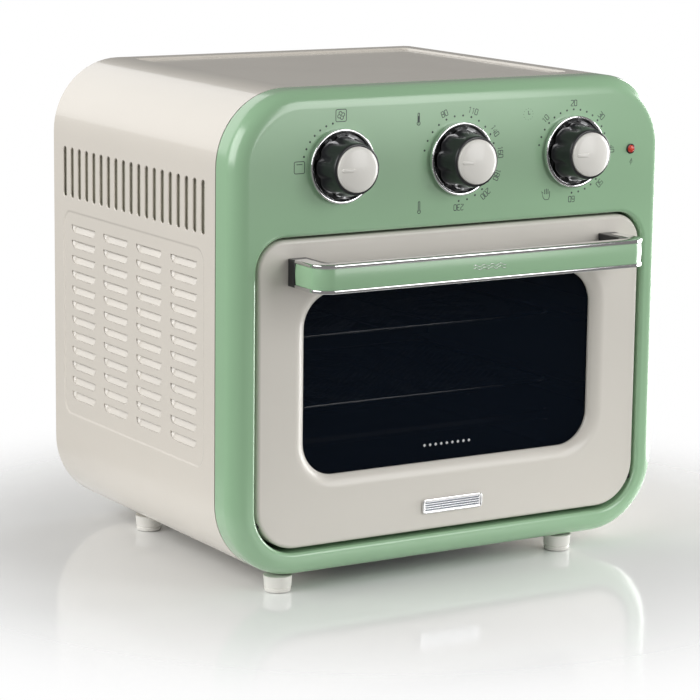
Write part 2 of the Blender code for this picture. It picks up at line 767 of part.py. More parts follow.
def rack_guide(name, side):
    """A pressed strip with a channel for each rack."""
    wall = CAVITY_WIDTH / 2 - GAP
    face = wall - GUIDE_SHEET
    tip = wall - GUIDE_REACH
    levels = sorted(RACK_LEVELS.values())
    half_channel = RACK_WIRE / 2 + GUIDE_CLEARANCE
    end = GUIDE_END_SHARE * CAVITY_HEIGHT
    inner = [(face, levels[0] - end)]
    for level in levels:
        for low, high in (
            (level - half_channel - GUIDE_SHEET, level - half_channel),
            (level + half_channel, level + half_channel + GUIDE_SHEET),
        ):
            inner += [(face, low), (tip, low), (tip, high), (face, high)]
    inner.append((face, levels[-1] + end))
    outline = [(wall, levels[0] - end)] + inner + [(wall, levels[-1] + end)]
    outline = [(side * x, z) for x, z in outline]
    return slab(
        name, [outline], CAVITY_FRONT + GUIDE_IN_FRONT, CAVITY_BACK - GUIDE_IN_REAR, "XZ", STEEL
    )


def rack(name, level):
    """A flat grid whose bars run from front to back."""
    half = RACK_WIDTH / 2
    front = SEAM_Y + RACK_FRONT
    back = front + RACK_DEPTH
    rim = 2 * RACK_WIRE
    pitch = (RACK_WIDTH - 2 * rim + RACK_WIRE) / (RACK_BARS + 1)
    middle = (0, (front + back) / 2)
    outlines = [rounded_rectangle(half, RACK_DEPTH / 2, RACK_RADIUS, middle, steps=3)]
    for i in range(RACK_BARS + 1):
        left = -half + rim + i * pitch
        outlines.append(rectangle((left, front + rim), (left + pitch - RACK_WIRE, back - rim)))
    return slab(name, outlines, level - RACK_WIRE / 2, level + RACK_WIRE / 2, "XY", CHROME)


def crumb_tray():
    """A shallow tray with flared sides, lying on the cavity floor."""
    bottom = CAVITY_FLOOR + GAP + 2 * PANEL_SHEET
    middle = SEAM_Y + TRAY_FRONT + TRAY_DEPTH / 2
    levels = ((0, TRAY_RIM), (TRAY_FLARE, PANEL_SHEET), (TRAY_FLARE + 0.001, 0))
    rings = []
    for inset, height in levels:
        outline = rounded_rectangle(
            TRAY_WIDTH / 2 - inset, TRAY_DEPTH / 2 - inset, RACK_RADIUS, (0, middle), steps=3
        )
        rings.append([(x, y, bottom + height) for x, y in outline])
    return add_wall(lofted("crumb_tray", rings, STEEL, capped="last"), PANEL_SHEET)


def heaters():
    half = CAVITY_WIDTH / 2 + LINER_SHEET + HEATER_END
    for name, (y, z) in LOWER_HEATERS.items():
        tube(name, [(-half, y, z), (half, y, z)], HEATER_RADIUS, HEATER)
    z = CAVITY_CEILING - TOP_HEATER_DROP
    tail = TOP_HEATER_TAILS / 2
    end = CAVITY_BACK + HEATER_END
    ring = arc((0, FAN_Y), TOP_HEATER_RADIUS, 81, -261, 30)
    points = [(tail, end, z)] + [(x, y, z) for x, y in ring] + [(-tail, end, z)]
    tube("heater_top", points, HEATER_RADIUS, HEATER)


def thermostat_bulb():
    x = CAVITY_WIDTH / 2 - GAP - SHAFT_RADIUS
    z = CAVITY_CEILING - BULB_DROP
    points = [(x, FAN_Y - BULB_AHEAD, z), (x, FAN_Y + BULB_BEHIND, z)]
    return tube("thermostat_bulb", points, SHAFT_RADIUS, STEEL)


# Fan


def fan_rotor(name, radius, bottom, height, material):
    """A hub with tilted blades, bored for the shaft."""
    rotor = turned(
        name,
        [(0, height), (HUB_RADIUS, height), (HUB_RADIUS, 0), (0, 0)],
        (0, FAN_Y, bottom),
        material,
        facing="up",
        steps=16,
    )
    bm = bmesh.new()
    length = radius - HUB_RADIUS + 0.002
    for i in range(BLADE_COUNT):
        made = bmesh.ops.create_cube(bm, size=1.0)["verts"]
        bmesh.ops.scale(bm, vec=(length, height * 1.1, BLADE_SHEET), verts=made)
        matrix = (
            Matrix.Translation((0, FAN_Y, bottom + height / 2))
            @ Matrix.Rotation(2 * pi * i / BLADE_COUNT, 4, "Z")
            @ Matrix.Translation((radius - length / 2, 0, 0))
            @ Matrix.Rotation(BLADE_TILT, 4, "X")
        )
        bmesh.ops.transform(bm, matrix=matrix, verts=made)
    join(rotor, mesh_object(name + "_blades", bm, material))
    bore = FAN_SHAFT_RADIUS + GAP
    middle = (0, FAN_Y, bottom + height / 2)
    return cut(rotor, rod_cutter(name + "_bore_cutter", [(middle, bore, 3 * height)], "Z"))


def fan_group():
    blade_bottom = CAVITY_CEILING - FAN_BLADE_DROP - FAN_BLADE_HEIGHT / 2
    fan_rotor("fan_blade", FAN_BLADE_RADIUS, blade_bottom, FAN_BLADE_HEIGHT, STEEL)
    cooling_bottom = LINER_TOP + COOLING_FAN_RISE
    fan_rotor("cooling_fan", COOLING_FAN_RADIUS, cooling_bottom, FAN_BLADE_HEIGHT, STEEL)
    top = MOTOR_BOTTOM + FAN_SHAFT_IN_MOTOR - FAN_SHAFT_END_GAP
    points = [(0, FAN_Y, blade_bottom - FAN_SHAFT_END_GAP), (0, FAN_Y, top)]
    tube("fan_shaft", points, FAN_SHAFT_RADIUS, STEEL)


def fan_guard():
    """A slotted disc under the fan, hung on four posts."""
    outlines = [circle((0, FAN_Y), GUARD_RADIUS, 32)]
    for i in range(GUARD_SLOTS):
        middle = 360 * i / GUARD_SLOTS
        wide = arc((0, FAN_Y), GUARD_RADIUS * 0.84, middle - 10, middle + 10, 2)
        narrow = arc((0, FAN_Y), GUARD_RADIUS * 0.36, middle + 8, middle - 8, 1)
        outlines.append(wide + narrow)
    low = CAVITY_CEILING - GUARD_DROP
    guard = slab("fan_guard", outlines, low, low + SHEET, "XY", STEEL)
    top = CAVITY_CEILING - GAP
    rods = []
    for i in range(4):
        a = radians(45 + 90 * i)
        reach = GUARD_RADIUS * 0.93
        middle = (reach * cos(a), FAN_Y + reach * sin(a), (low + top) / 2)
        rods.append((middle, GUARD_POST_RADIUS, top - low))
    return join(guard, rod_cutter("fan_guard_posts", rods, "Z", steps=8))


def motor_bridge():
    """A bent strap over the cooling fan that carries the motor."""
    low = LINER_TOP + GAP
    high = low + BRIDGE_HEIGHT
    half = BRIDGE_HALF_SPAN
    right = [
        (half + BRIDGE_FOOT, low),
        (half + BRIDGE_FOOT, low + SHEET),
        (half + SHEET, low + SHEET),
        (half + SHEET, high),
    ]
    right_inner = [(half, high - SHEET), (half, low)]
    outline = right + [(-x, z) for x, z in reversed(right)]
    outline += [(-x, z) for x, z in reversed(right_inner)] + right_inner
    bridge = slab(
        "motor_bridge", [outline], FAN_Y - BRIDGE_DEPTH / 2, FAN_Y + BRIDGE_DEPTH / 2, "XZ", STEEL
    )
    middle = (0, FAN_Y, high)
    return cut(bridge, rod_cutter("motor_bridge_cutter", [(middle, BRIDGE_BORE, 4 * SHEET)], "Z"))


def motor_body():
    bore = FAN_SHAFT_RADIUS + FAN_SHAFT_CLEARANCE
    profile = [
        (0, MOTOR_HEIGHT),
        (MOTOR_RADIUS * 0.4, MOTOR_HEIGHT),
        (MOTOR_RADIUS * 0.45, MOTOR_HEIGHT - 0.004),
        (MOTOR_RADIUS, MOTOR_HEIGHT - 0.006),
        (MOTOR_RADIUS, 0.003),
        (MOTOR_RADIUS - 0.003, 0),
        (bore, 0),
        (bore, FAN_SHAFT_IN_MOTOR),
        (0, FAN_SHAFT_IN_MOTOR),
    ]
    return turned("motor_body", profile, (0, FAN_Y, MOTOR_BOTTOM), STEEL, facing="up")


def thermal_cutout():
    radius = CUTOUT_RADIUS
    neck = radius * 0.6
    flange = CUTOUT_HEIGHT * 0.4
    profile = [
        (0, CUTOUT_HEIGHT),
        (neck, CUTOUT_HEIGHT),
        (neck, flange),
        (radius, flange),
        (radius, 0),
        (0, 0),
    ]
    at = (-CAVITY_WIDTH * 0.36, SEAM_Y + CUTOUT_BEHIND_SEAM, LINER_TOP + GAP)
    return turned("thermal_cutout", profile, at, STEEL, facing="up", steps=16)


def terminal_block():
    base = BODY_BOTTOM + SHEET + GAP
    back = SEAM_Y + CABINET_DEPTH - TERMINAL_IN_REAR
    high = Vector((base_half_width() - TERMINAL_IN_SIDE, back, base + TERMINAL_SIZE.z))
    low = high - TERMINAL_SIZE
    return block("terminal_block", low, high, CERAMIC, bevel=0.001)


# Door


def window_outline(outset, steps=RING_SEGMENTS):
    return rounded_rectangle(
        WINDOW_WIDTH / 2 + outset,
        WINDOW_HEIGHT / 2 + outset,
        WINDOW_RADIUS + outset,
        (0, WINDOW_MIDDLE),
        steps,
    )


def window_ring(outset, y):
    return [(x, y, z) for x, z in window_outline(outset)]


def door_ring(inset, y):
    side = DOOR_WIDTH / 2 - inset
    outline = rounded_box(
        (-side, DOOR_BOTTOM + inset),
        (side, DOOR_BOTTOM + DOOR_HEIGHT - inset),
        DOOR_TOP_RADIUS - inset,
        DOOR_LOW_RADIUS - inset,
    )
    return [(x, y, z) for x, z in outline]


def pin_hole_cutter(name, middle_x, length):
    radius = PIN_RADIUS + PIN_CLEARANCE
    rods = [((side * middle_x, HINGE_Y, HINGE_Z), radius, length) for side in (-1, 1)]
    return rod_cutter(name, rods, "X")


def door_frame():
    """The cream door: a skirt, a rounded edge, the face, and a roll in to the window."""
    rings = [door_ring(0, DOOR_BACK)]
    for step in range(4):
        a = radians(30 * step)
        rings.append(door_ring(DOOR_EDGE * (1 - cos(a)), DOOR_FRONT + DOOR_EDGE * (1 - sin(a))))
    reach = WINDOW_ROLL * sin(WINDOW_ROLL_ANGLE)
    for step in range(5):
        a = WINDOW_ROLL_ANGLE * step / 4
        depth = WINDOW_ROLL * (1 - cos(a))
        rings.append(window_ring(reach - WINDOW_ROLL * sin(a), DOOR_FRONT + depth))
    rings.append(window_ring(0, glass_front() - GAP))
    frame = add_wall(lofted("door_frame", rings, DOOR_CREAM, capped="none"), DOOR_SKIN)
    inside = DOOR_WIDTH / 2 - PIN_HOLE_INSET
    return cut(frame, pin_hole_cutter("door_pin_cutter", inside, PIN_HOLE_IN_DOOR))


def glass_front():
    """How far back the glass lies behind the roll and its lip."""
    return DOOR_FRONT + WINDOW_ROLL * (1 - cos(WINDOW_ROLL_ANGLE)) + WINDOW_LIP + GAP


def door_glass():
    front = glass_front()
    outline = window_outline(GLASS_OVERLAP)
    return slab("door_glass", [outline], front, front + GLASS_THICKNESS, "XZ", GLASS)


def door_inner_panel():
    """The pressed steel back of the door, which holds the glass."""
    glass_back = glass_front() + GLASS_THICKNESS + GAP + PANEL_SHEET
    back = DOOR_BACK - GAP
    rings = [
        window_ring(0.002, glass_back),
        window_ring(0.010, glass_back),
        window_ring(0.016, back),
        door_ring(DOOR_SKIN + GAP, back),
    ]
    return add_wall(lofted("door_inner_panel", rings, STEEL, capped="none"), PANEL_SHEET)


def handle_side(outset, door_end):
    """Right half of the grip's outline: up the leg, round the corner, to the middle."""
    half = HANDLE_WIDTH / 2 - outset
    front = FASCIA_FRONT - HANDLE_REACH + outset
    radius = HANDLE_CORNER - outset
    turn = arc((half - radius, front + radius), radius, 0, -90, 5)
    return [(half, door_end)] + turn


def mirrored(points):
    return points + [(-x, y) for x, y in reversed(points)]


def handle_core():
    """The black grip with its two end blocks against the door."""
    skin = TRIM_BEAD + GAP
    door_end = DOOR_FRONT - GAP
    block_front = door_end - HANDLE_END_DEPTH
    half = HANDLE_WIDTH / 2
    back = FASCIA_FRONT - HANDLE_REACH + HANDLE_THICKNESS
    outer = [(half, door_end), (half, block_front)] + handle_side(skin, block_front)
    leg = half - HANDLE_END_WIDTH
    bend = HANDLE_INNER_CORNER
    inner = [(leg, door_end)] + arc((leg - bend, back + bend), bend, 0, -90, 3)
    outline = mirrored(outer) + mirrored(inner)[::-1]
    low = HANDLE_Z - HANDLE_HEIGHT / 2 + GAP
    return slab("handle_core", [outline], low, low + HANDLE_HEIGHT - 2 * GAP, "XY", BLACK)


def strip_along_grip(name, outset, section, material):
    """A strip bent round the grip. The section holds (distance in from the face, height)."""
    end = DOOR_FRONT - GAP - HANDLE_END_DEPTH - GAP
    corners = []
    for depth, height in section:
        path = mirrored(handle_side(outset + depth, end))
        corners.append([(x, y, HANDLE_Z + height) for x, y in path])
    rings = [list(ring) for ring in zip(*corners)]
    return lofted(name, rings, material)


def handle_trim():
    """The bright channel, with a bead along its top and bottom edges."""
    edge = HANDLE_HEIGHT / 2
    web = edge - TRIM_BEAD_HEIGHT
    face = TRIM_BEAD - TRIM_WEB
    section = [
        (TRIM_BEAD, -edge),
        (0, -edge),
        (0, -web),
        (face, -web),
        (face, web),
        (0, web),
        (0, edge),
        (TRIM_BEAD, edge),
    ]
    return strip_along_grip("handle_trim", 0, section, CHROME)


def handle_insert():
    edge = HANDLE_HEIGHT / 2 - TRIM_BEAD_HEIGHT - GAP
    back = TRIM_BEAD - TRIM_WEB - GAP
    face = back - INSERT_SHEET
    section = [(back, -edge), (face, -edge), (face, edge), (back, edge)]
    return strip_along_grip("handle_insert", 0, section, GREEN)


def badge_plate():
    middle = (0, DOOR_BOTTOM + BADGE_ABOVE_DOOR_EDGE)
    outline = rounded_rectangle(BADGE_WIDTH / 2, BADGE_HEIGHT / 2, BADGE_RADIUS, middle, steps=3)
    back = DOOR_FRONT - GAP
    return slab("badge_plate", [outline], back - BADGE_THICKNESS, back, "XZ", CHROME)


def hinges():
    for name, side in (("left", -1), ("right", 1)):
        inner = side * (DOOR_WIDTH / 2 - PIN_INSET)
        outer = side * (DOOR_WIDTH / 2 - PIN_INSET + PIN_LENGTH)
        points = [(inner, HINGE_Y, HINGE_Z), (outer, HINGE_Y, HINGE_Z)]
        tube("hinge_pin_" + name, points, PIN_RADIUS, STEEL)
        low = (FASCIA_FRONT + FASCIA_WALL + 2 * GAP, HINGE_Z - 2 * PIN_RADIUS)
        high = (SEAM_Y + FRAME_FRONT - GAP, HINGE_Z + BRACKET_RISE)
        outlines = [rectangle(low, high), circle((HINGE_Y, HINGE_Z), PIN_RADIUS + PIN_CLEARANCE)]
        near = DOOR_WIDTH / 2 + DOOR_GAP + FASCIA_WALL + 3 * GAP
        span = sorted((side * near, side * (near + BRACKET_SHEET)))
        slab("hinge_bracket_" + name, outlines, span[0], span[1], "YZ", STEEL)


# Controls


def bezel(name, x):
    """A bright dish round a knob."""
    profile = [
        (BEZEL_RADIUS - 0.0008, BEZEL_RIM),
        (BEZEL_RADIUS, BEZEL_RIM - 0.0008),
        (BEZEL_RADIUS, GAP),
        (BEZEL_BORE, GAP),
        (BEZEL_BORE, 0.0012),
        (KNOB_BASE_RADIUS, 0.0014),
        (BEZEL_RADIUS - 0.0016, BEZEL_RIM - 0.0002),
    ]
    return turned(name, profile, (x, FASCIA_FRONT, KNOB_Z), CHROME, closed=True)


def scalloped_ring(x, radius, depth, proud):
    """A ring round a knob's axis, with shallow hollows between its lobes."""
    points = []
    count = 4 * KNOB_SCALLOPS
    for i in range(count):
        a = 2 * pi * (i + 0.5) / count
        hollow = depth * (0.5 - 0.5 * cos(KNOB_SCALLOPS * a)) ** 2
        r = radius - hollow
        points.append((x + r * cos(a), FASCIA_FRONT - proud, KNOB_Z + r * sin(a)))
    return points


def knob_skirt(name, x):
    bore = SHAFT_RADIUS + SHAFT_CLEARANCE
    recess = CAP_RADIUS + GAP
    front = KNOB_LENGTH
    levels = [
        (bore, 0, front - SHAFT_SEAT),
        (bore, 0, KNOB_STANDOFF),
        (KNOB_BASE_RADIUS, SCALLOP_DEPTH, KNOB_STANDOFF),
        (KNOB_BASE_RADIUS * 0.95, SCALLOP_DEPTH, front * 0.42),
        (KNOB_FRONT_RADIUS, 0, front - 0.001),
        (KNOB_FRONT_RADIUS - 0.0008, 0, front),
        (recess, 0, front),
        (recess, 0, front - CAP_SEAT),
    ]
    rings = [scalloped_ring(x, *level) for level in levels]
    return lofted(name, rings, BLACK)


def knob_cap(name, x):
    seat = KNOB_LENGTH - CAP_SEAT + GAP
    top = KNOB_LENGTH + CAP_DOME
    profile = [
        (0, top),
        (CAP_RADIUS * 0.5, top - 0.0004),
        (CAP_RADIUS * 0.86, top - 0.0016),
        (CAP_RADIUS * 0.98, top - 0.0030),
        (CAP_RADIUS, KNOB_LENGTH),
        (CAP_RADIUS, seat),
        (0, seat),
    ]
    cap = turned(name, profile, (x, FASCIA_FRONT, KNOB_Z), CAP_CREAM)
    low = (x - CAP_RADIUS * 0.84, FASCIA_FRONT - top - 0.0003, KNOB_Z - 0.0008)
    high = (x - CAP_RADIUS * 0.28, FASCIA_FRONT - top + 0.003, KNOB_Z + 0.0008)
    return join(cap, block(name + "_pointer", low, high, CAP_CREAM))


def control_shaft(name, x):
    tip = FASCIA_FRONT - (KNOB_LENGTH - SHAFT_SEAT) + GAP
    end = CONTROL_FRONT + SHAFT_IN_BODY
    return tube(name, [(x, tip, KNOB_Z), (x, end, KNOB_Z)], SHAFT_RADIUS, STEEL)


def control_body(name, half_size, material):
    """The box that a knob's shaft turns in, behind the fascia."""
    half_width, half_height = half_size
    x = KNOB_X[name.split("_")[0]]
    low = (x - half_width, CONTROL_FRONT, KNOB_Z - half_height)
    high = (x + half_width, CONTROL_FRONT + CONTROL_BODY_DEPTH, KNOB_Z + half_height)
    body = block(name, low, high, material, bevel=0.0015)
    middle = (x, CONTROL_FRONT, KNOB_Z)
    length = 2 * (SHAFT_IN_BODY + GAP)
    bore = SHAFT_RADIUS + SHAFT_CLEARANCE
    return cut(body, rod_cutter(name + "_bore_cutter", [(middle, bore, length)], "Y"))


def controls():
    for name, x in KNOB_X.items():
        bezel(name + "_bezel", x)
        knob_skirt(name + "_knob", x)
        knob_cap(name + "_knob_cap", x)
        control_shaft(name + "_shaft", x)
    control_body("function_switch", FUNCTION_HALF_SIZE, CERAMIC)
    control_body("temperature_thermostat", TEMPERATURE_HALF_SIZE, STEEL)
    control_body("timer_unit", TIMER_HALF_SIZE, STEEL)


def pilot_lamp():
    z = KNOB_Z + LAMP_ABOVE_KNOBS
    stem = -FASCIA_WALL - 0.003
    lens = [
        (0, 0.0018),
        (LAMP_RADIUS * 0.6, 0.0015),
        (LAMP_RADIUS, 0.0006),
        (LAMP_RADIUS, GAP),
        (LAMP_NECK_RADIUS, GAP),
        (LAMP_NECK_RADIUS, stem),
        (0, stem),
    ]
    turned("pilot_lens", lens, (LAMP_X, FASCIA_FRONT, z), LENS, steps=16)
    front = FASCIA_FRONT - CONTROL_FRONT
    holder = [
        (0, stem - GAP),
        (LAMP_NECK_RADIUS + GAP, stem - GAP),
        (LAMP_NECK_RADIUS + GAP, front),
        (LAMP_RADIUS + HOLDER_WALL, front),
        (LAMP_RADIUS + HOLDER_WALL, front - HOLDER_DEPTH),
        (0, front - HOLDER_DEPTH),
    ]
    turned("pilot_holder", holder, (LAMP_X, FASCIA_FRONT, z), BLACK, steps=16)


def pivots():
    """Moves the origin of every moving piece onto its joint's axis."""
    hinge = Vector((0, HINGE_Y, HINGE_Z))
    door = ("door_frame", "door_glass", "door_inner_panel", "handle_core", "handle_trim",
            "handle_insert", "badge_plate", "hinge_pin_left", "hinge_pin_right")
    for name in door:
        move_origin(bpy.data.objects[name], hinge)
    for name, x in KNOB_X.items():
        axis = Vector((x, FASCIA_FRONT, KNOB_Z))
        move_origin(bpy.data.objects[name + "_knob"], axis)
        move_origin(bpy.data.objects[name + "_shaft"], axis)
    move_origin(bpy.data.objects["fan_shaft"], Vector((0, FAN_Y, CAVITY_CEILING)))


def move_origin(obj, point):
    """Only for objects whose modifiers don't depend on their origin."""
    bpy.context.view_layer.update()
    local = obj.matrix_world.inverted() @ point
    obj.data.transform(Matrix.Translation(-local))
    obj.matrix_world = obj.matrix_world @ Matrix.Translation(local)


clear_scene()
PARTS = new_collection("countertop_oven")
CUTTERS = new_collection("cutters")
CREAM = finish("cream_enamel", (0.80, 0.76, 0.68), 0.28)
DOOR_CREAM = finish("door_cream", (0.78, 0.75, 0.69), 0.35)
FOOT_CREAM = finish("foot_cream", (0.80, 0.78, 0.72), 0.45)
CAP_CREAM = finish("cap_cream", (0.82, 0.80, 0.74), 0.35)
GREEN = finish("pastel_green", (0.44, 0.66, 0.45), 0.18)
CHROME = finish("chrome", (0.85, 0.85, 0.86), 0.08, 1.0)
STEEL = finish("plated_steel", (0.60, 0.60, 0.61), 0.35, 1.0)
LINER = finish("liner_steel", (0.45, 0.45, 0.46), 0.40, 1.0)
BLACK = finish("black_plastic", (0.012, 0.012, 0.014), 0.35)
GLASS = finish("dark_glass", (0.01, 0.012, 0.02), 0.03)
HEATER = finish("heater_sheath", (0.10, 0.09, 0.09), 0.5, 1.0)
CERAMIC = finish("white_ceramic", (0.75, 0.74, 0.70), 0.6)
LENS = finish("red_lens", (0.75, 0.02, 0.02), 0.15)

cabinet_wrap()
base_plate()
rear_cover()
cord_gland()
front_fascia()
feet()
front_frame()
liner()
rack_guide("rack_guide_left", -1)
rack_guide("rack_guide_right", 1)
for rack_name, rack_level in RACK_LEVELS.items():
    rack(rack_name, rack_level)
crumb_tray()
heaters()
thermostat_bulb()
fan_group()
fan_guard()
motor_bridge()
motor_body()
thermal_cutout()
terminal_block()
door_frame()
door_glass()
door_inner_panel()
handle_core()
handle_trim()
handle_insert()
badge_plate()
hinges()
controls()
pilot_lamp()
pivots()
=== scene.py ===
"""Looks of a countertop air-fryer oven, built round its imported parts.

Metres, +Z up, with the door and dials facing -Y. Each piece is made by its own
operator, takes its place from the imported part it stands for, and rides on that
part's body. "Inset" is measured in from an outline and "proud" out from a face.
"""

from math import cos, hypot, pi, radians, sin, sqrt

import bmesh
import bpy
from mathutils import Matrix, Vector
from mathutils.geometry import tessellate_polygon


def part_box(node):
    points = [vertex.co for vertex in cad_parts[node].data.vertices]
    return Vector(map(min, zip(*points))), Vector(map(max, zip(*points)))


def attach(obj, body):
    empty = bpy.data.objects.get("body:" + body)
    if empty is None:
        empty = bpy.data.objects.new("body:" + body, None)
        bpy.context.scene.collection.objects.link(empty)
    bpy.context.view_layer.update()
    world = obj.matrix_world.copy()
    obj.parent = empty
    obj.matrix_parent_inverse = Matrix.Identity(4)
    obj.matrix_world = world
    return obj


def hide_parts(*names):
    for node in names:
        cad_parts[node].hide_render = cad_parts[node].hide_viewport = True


bl_info = {
    "name": "Countertop oven looks",
    "version": (1, 0, 0),
    "blender": (4, 5, 0),
    "location": "3D View > Sidebar > Oven",
    "description": "Builds the visible surfaces of a countertop air-fryer oven",
    "category": "Object",
}

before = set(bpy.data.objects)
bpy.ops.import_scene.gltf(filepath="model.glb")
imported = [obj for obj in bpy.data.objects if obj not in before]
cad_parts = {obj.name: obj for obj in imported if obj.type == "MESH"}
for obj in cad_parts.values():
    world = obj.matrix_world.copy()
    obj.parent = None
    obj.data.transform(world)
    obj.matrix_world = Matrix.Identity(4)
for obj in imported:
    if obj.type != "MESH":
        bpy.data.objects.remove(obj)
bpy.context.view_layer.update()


def centre_of(node):
    low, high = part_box(node)
    return (low + high) / 2


def size_of(node):
    low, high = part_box(node)
    return high - low


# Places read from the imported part
BODY_LOW, BODY_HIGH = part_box("front_fascia")
BODY_HALF = BODY_HIGH.x
BODY_MIDDLE = (BODY_LOW.z + BODY_HIGH.z) / 2
FASCIA_FRONT = BODY_LOW.y
WRAP_LOW, WRAP_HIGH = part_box("cabinet_wrap")
DOOR_LOW, DOOR_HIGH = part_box("door_frame")
GLASS_LOW, GLASS_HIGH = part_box("door_glass")
HANDLE_LOW, HANDLE_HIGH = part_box("handle_trim")
BODY = "cabinet"
DOOR = "door"
DIALS = ("function", "temperature", "timer")

# Small sizes that follow from how the pieces are made
GAP = 0.0003
SHEET = 0.0012
FASCIA_WALL = 0.002
DOOR_WALL = 0.0015
ARC_STEPS = 16
ROUND_STEPS = 72
FLAT_MARGIN = 0.0004


# Property helpers


def length(name, description, default):
    return bpy.props.FloatProperty(
        name=name, description=description, default=default, min=0.0, unit="LENGTH", precision=4
    )


def colour(name, description, default):
    return bpy.props.FloatVectorProperty(
        name=name, description=description, default=default, subtype="COLOR", min=0.0, max=1.0
    )


def count(name, description, default):
    return bpy.props.IntProperty(name=name, description=description, default=default, min=1)


class OvenSizes(bpy.types.PropertyGroup):
    """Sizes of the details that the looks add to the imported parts."""

    corner: length("Body corner", "Radius of the four corners of the body", 0.047)
    bullnose: length("Bullnose", "Radius of the rounded edge of the front", 0.011)
    opening_fillet: length("Opening edge", "Radius of the edge round the door opening", 0.0025)
    door_top_corner: length("Door top corner", "Radius of the upper corners of the door", 0.0184)
    door_low_corner: length("Door low corner", "Radius of the lower corners of the door", 0.028)
    door_gap: length("Door gap", "Gap above and beside the door", 0.0016)
    door_low_gap: length("Door low gap", "Gap under the door", 0.0028)
    door_edge: length("Door edge", "Radius of the edge of the door's face", 0.0025)
    window_overlap: length("Window overlap", "How far the glass lies under the door's face", 0.008)
    window_corner: length("Window corner", "Radius of the corners of the window", 0.022)
    window_roll: length("Window roll", "Radius of the roll in to the window", 0.010)
    slot_width: length("Slot width", "Width of an upright slot in the side", 0.0048)
    slot_height: length("Slot height", "Height of an upright slot in the side", 0.033)
    slot_pitch: length("Slot pitch", "Distance between neighbouring slots", 0.0106)
    slot_count: count("Slots", "Upright slots in each side", 19)
    louvre_length: length("Louvre length", "Length of a pressed louvre", 0.0345)
    louvre_height: length("Louvre height", "Height of a pressed louvre", 0.0054)
    louvre_rows: count("Louvre rows", "Rows of louvres in each side", 12)
    louvre_columns: count("Louvre columns", "Columns of louvres in each side", 4)
    panel_depth: length("Panel depth", "Depth of the pressed fields in the cabinet", 0.0006)
    handle_corner: length("Handle corner", "Outer radius of the handle's two bends", 0.012)
    mesh_pitch: length("Mesh pitch", "Distance between the wires of a rack", 0.006)
    digit_height: length("Digit height", "Height of the printed numbers", 0.0036)


class OvenColours(bpy.types.PropertyGroup):
    """Colours of the oven's finishes."""

    cream: colour("Cabinet cream", "Enamel of the cabinet", (0.76, 0.715, 0.645))
    door: colour("Door cream", "Enamel of the door", (0.74, 0.71, 0.65))
    green: colour("Pastel green", "Front and handle inlay", (0.33, 0.545, 0.335))
    cap: colour("Cap cream", "Caps of the dials and the feet", (0.80, 0.785, 0.74))
    black: colour("Black plastic", "Dial skirts and the handle's core", (0.012, 0.013, 0.015))
    glass: colour("Glass", "Tint of the window", (0.003, 0.006, 0.012))
    ink: colour("Ink", "Printed marks", (0.035, 0.055, 0.05))
    lens: colour("Lens", "Pilot lamp", (0.85, 0.03, 0.015))
    floor: colour("Floor", "Floor of the stage", (0.86, 0.865, 0.86))


def oven_sizes():
    return bpy.context.scene.oven_sizes


# Outlines


def arc(centre, radius, start, end, steps):
    """Points on an arc, both ends included, with angles in degrees."""
    angles = [radians(start + (end - start) * i / steps) for i in range(steps + 1)]
    return [(centre[0] + radius * cos(a), centre[1] + radius * sin(a)) for a in angles]


def rounded_box(low, high, top_radius, low_radius=None, steps=ARC_STEPS):
    """A closed outline, anticlockwise, with its own corner radius above and below."""
    low_radius = top_radius if low_radius is None else low_radius
    corners = (
        (high[0] - top_radius, high[1] - top_radius, top_radius),
        (low[0] + top_radius, high[1] - top_radius, top_radius),
        (low[0] + low_radius, low[1] + low_radius, low_radius),
        (high[0] - low_radius, low[1] + low_radius, low_radius),
    )
    points = []
    for turn, (x, y, radius) in enumerate(corners):
        points += arc((x, y), radius, 90 * turn, 90 * turn + 90, steps)
    return points


def rounded_about(centre, half_width, half_height, radius, steps=ARC_STEPS):
    low = (centre[0] - half_width, centre[1] - half_height)
    high = (centre[0] + half_width, centre[1] + half_height)
    return rounded_box(low, high, radius, steps=steps)


def circle(steps):
    return [2 * pi * i / steps for i in range(steps)]


def ring_about(centre, radius, y, steps):
    """A round outline in X and Z at a depth."""
    return [(centre.x + radius * cos(a), y, centre.z + radius * sin(a)) for a in circle(steps)]


def upright(outline, y):
    """An outline in X and Z, stood up at a depth."""
    return [(x, y, z) for x, z in outline]


# Meshes


def loft(bm, rings, closed=True, cap_first=False, cap_last=False):
    """Rings of the same number of points, joined in order."""
    loops = [[bm.verts.new(point) for point in ring] for ring in rings]
    for near, far in zip(loops, loops[1:]):
        last = len(near) if closed else len(near) - 1
        for i in range(last):
            j = (i + 1) % len(near)
            bm.faces.new((near[i], near[j], far[j], far[i]))
    if cap_first:
        bm.faces.new(loops[0][::-1])
    if cap_last:
        bm.faces.new(loops[-1])
    return loops


def fill(bm, loops, flip=False):
    """Flat faces inside the first loop and outside the others."""
    points = [Vector(point) for loop in loops for point in loop]
    verts = [bm.verts.new(point) for point in points]
    for corners in tessellate_polygon([[Vector(p) for p in loop] for loop in loops]):
        a, b, c = (verts[i] for i in corners)
        if a.co != b.co and b.co != c.co and a.co != c.co:
            normal = (b.co - a.co).cross(c.co - a.co)
            upward = normal.dot(fill_normal(loops[0])) > 0
            bm.faces.new((a, b, c) if upward != flip else (c, b, a))


def fill_normal(loop):
    total = Vector((0, 0, 0))
    for first, second in zip(loop, loop[1:] + loop[:1]):
        total += Vector(first).cross(Vector(second))
    return total


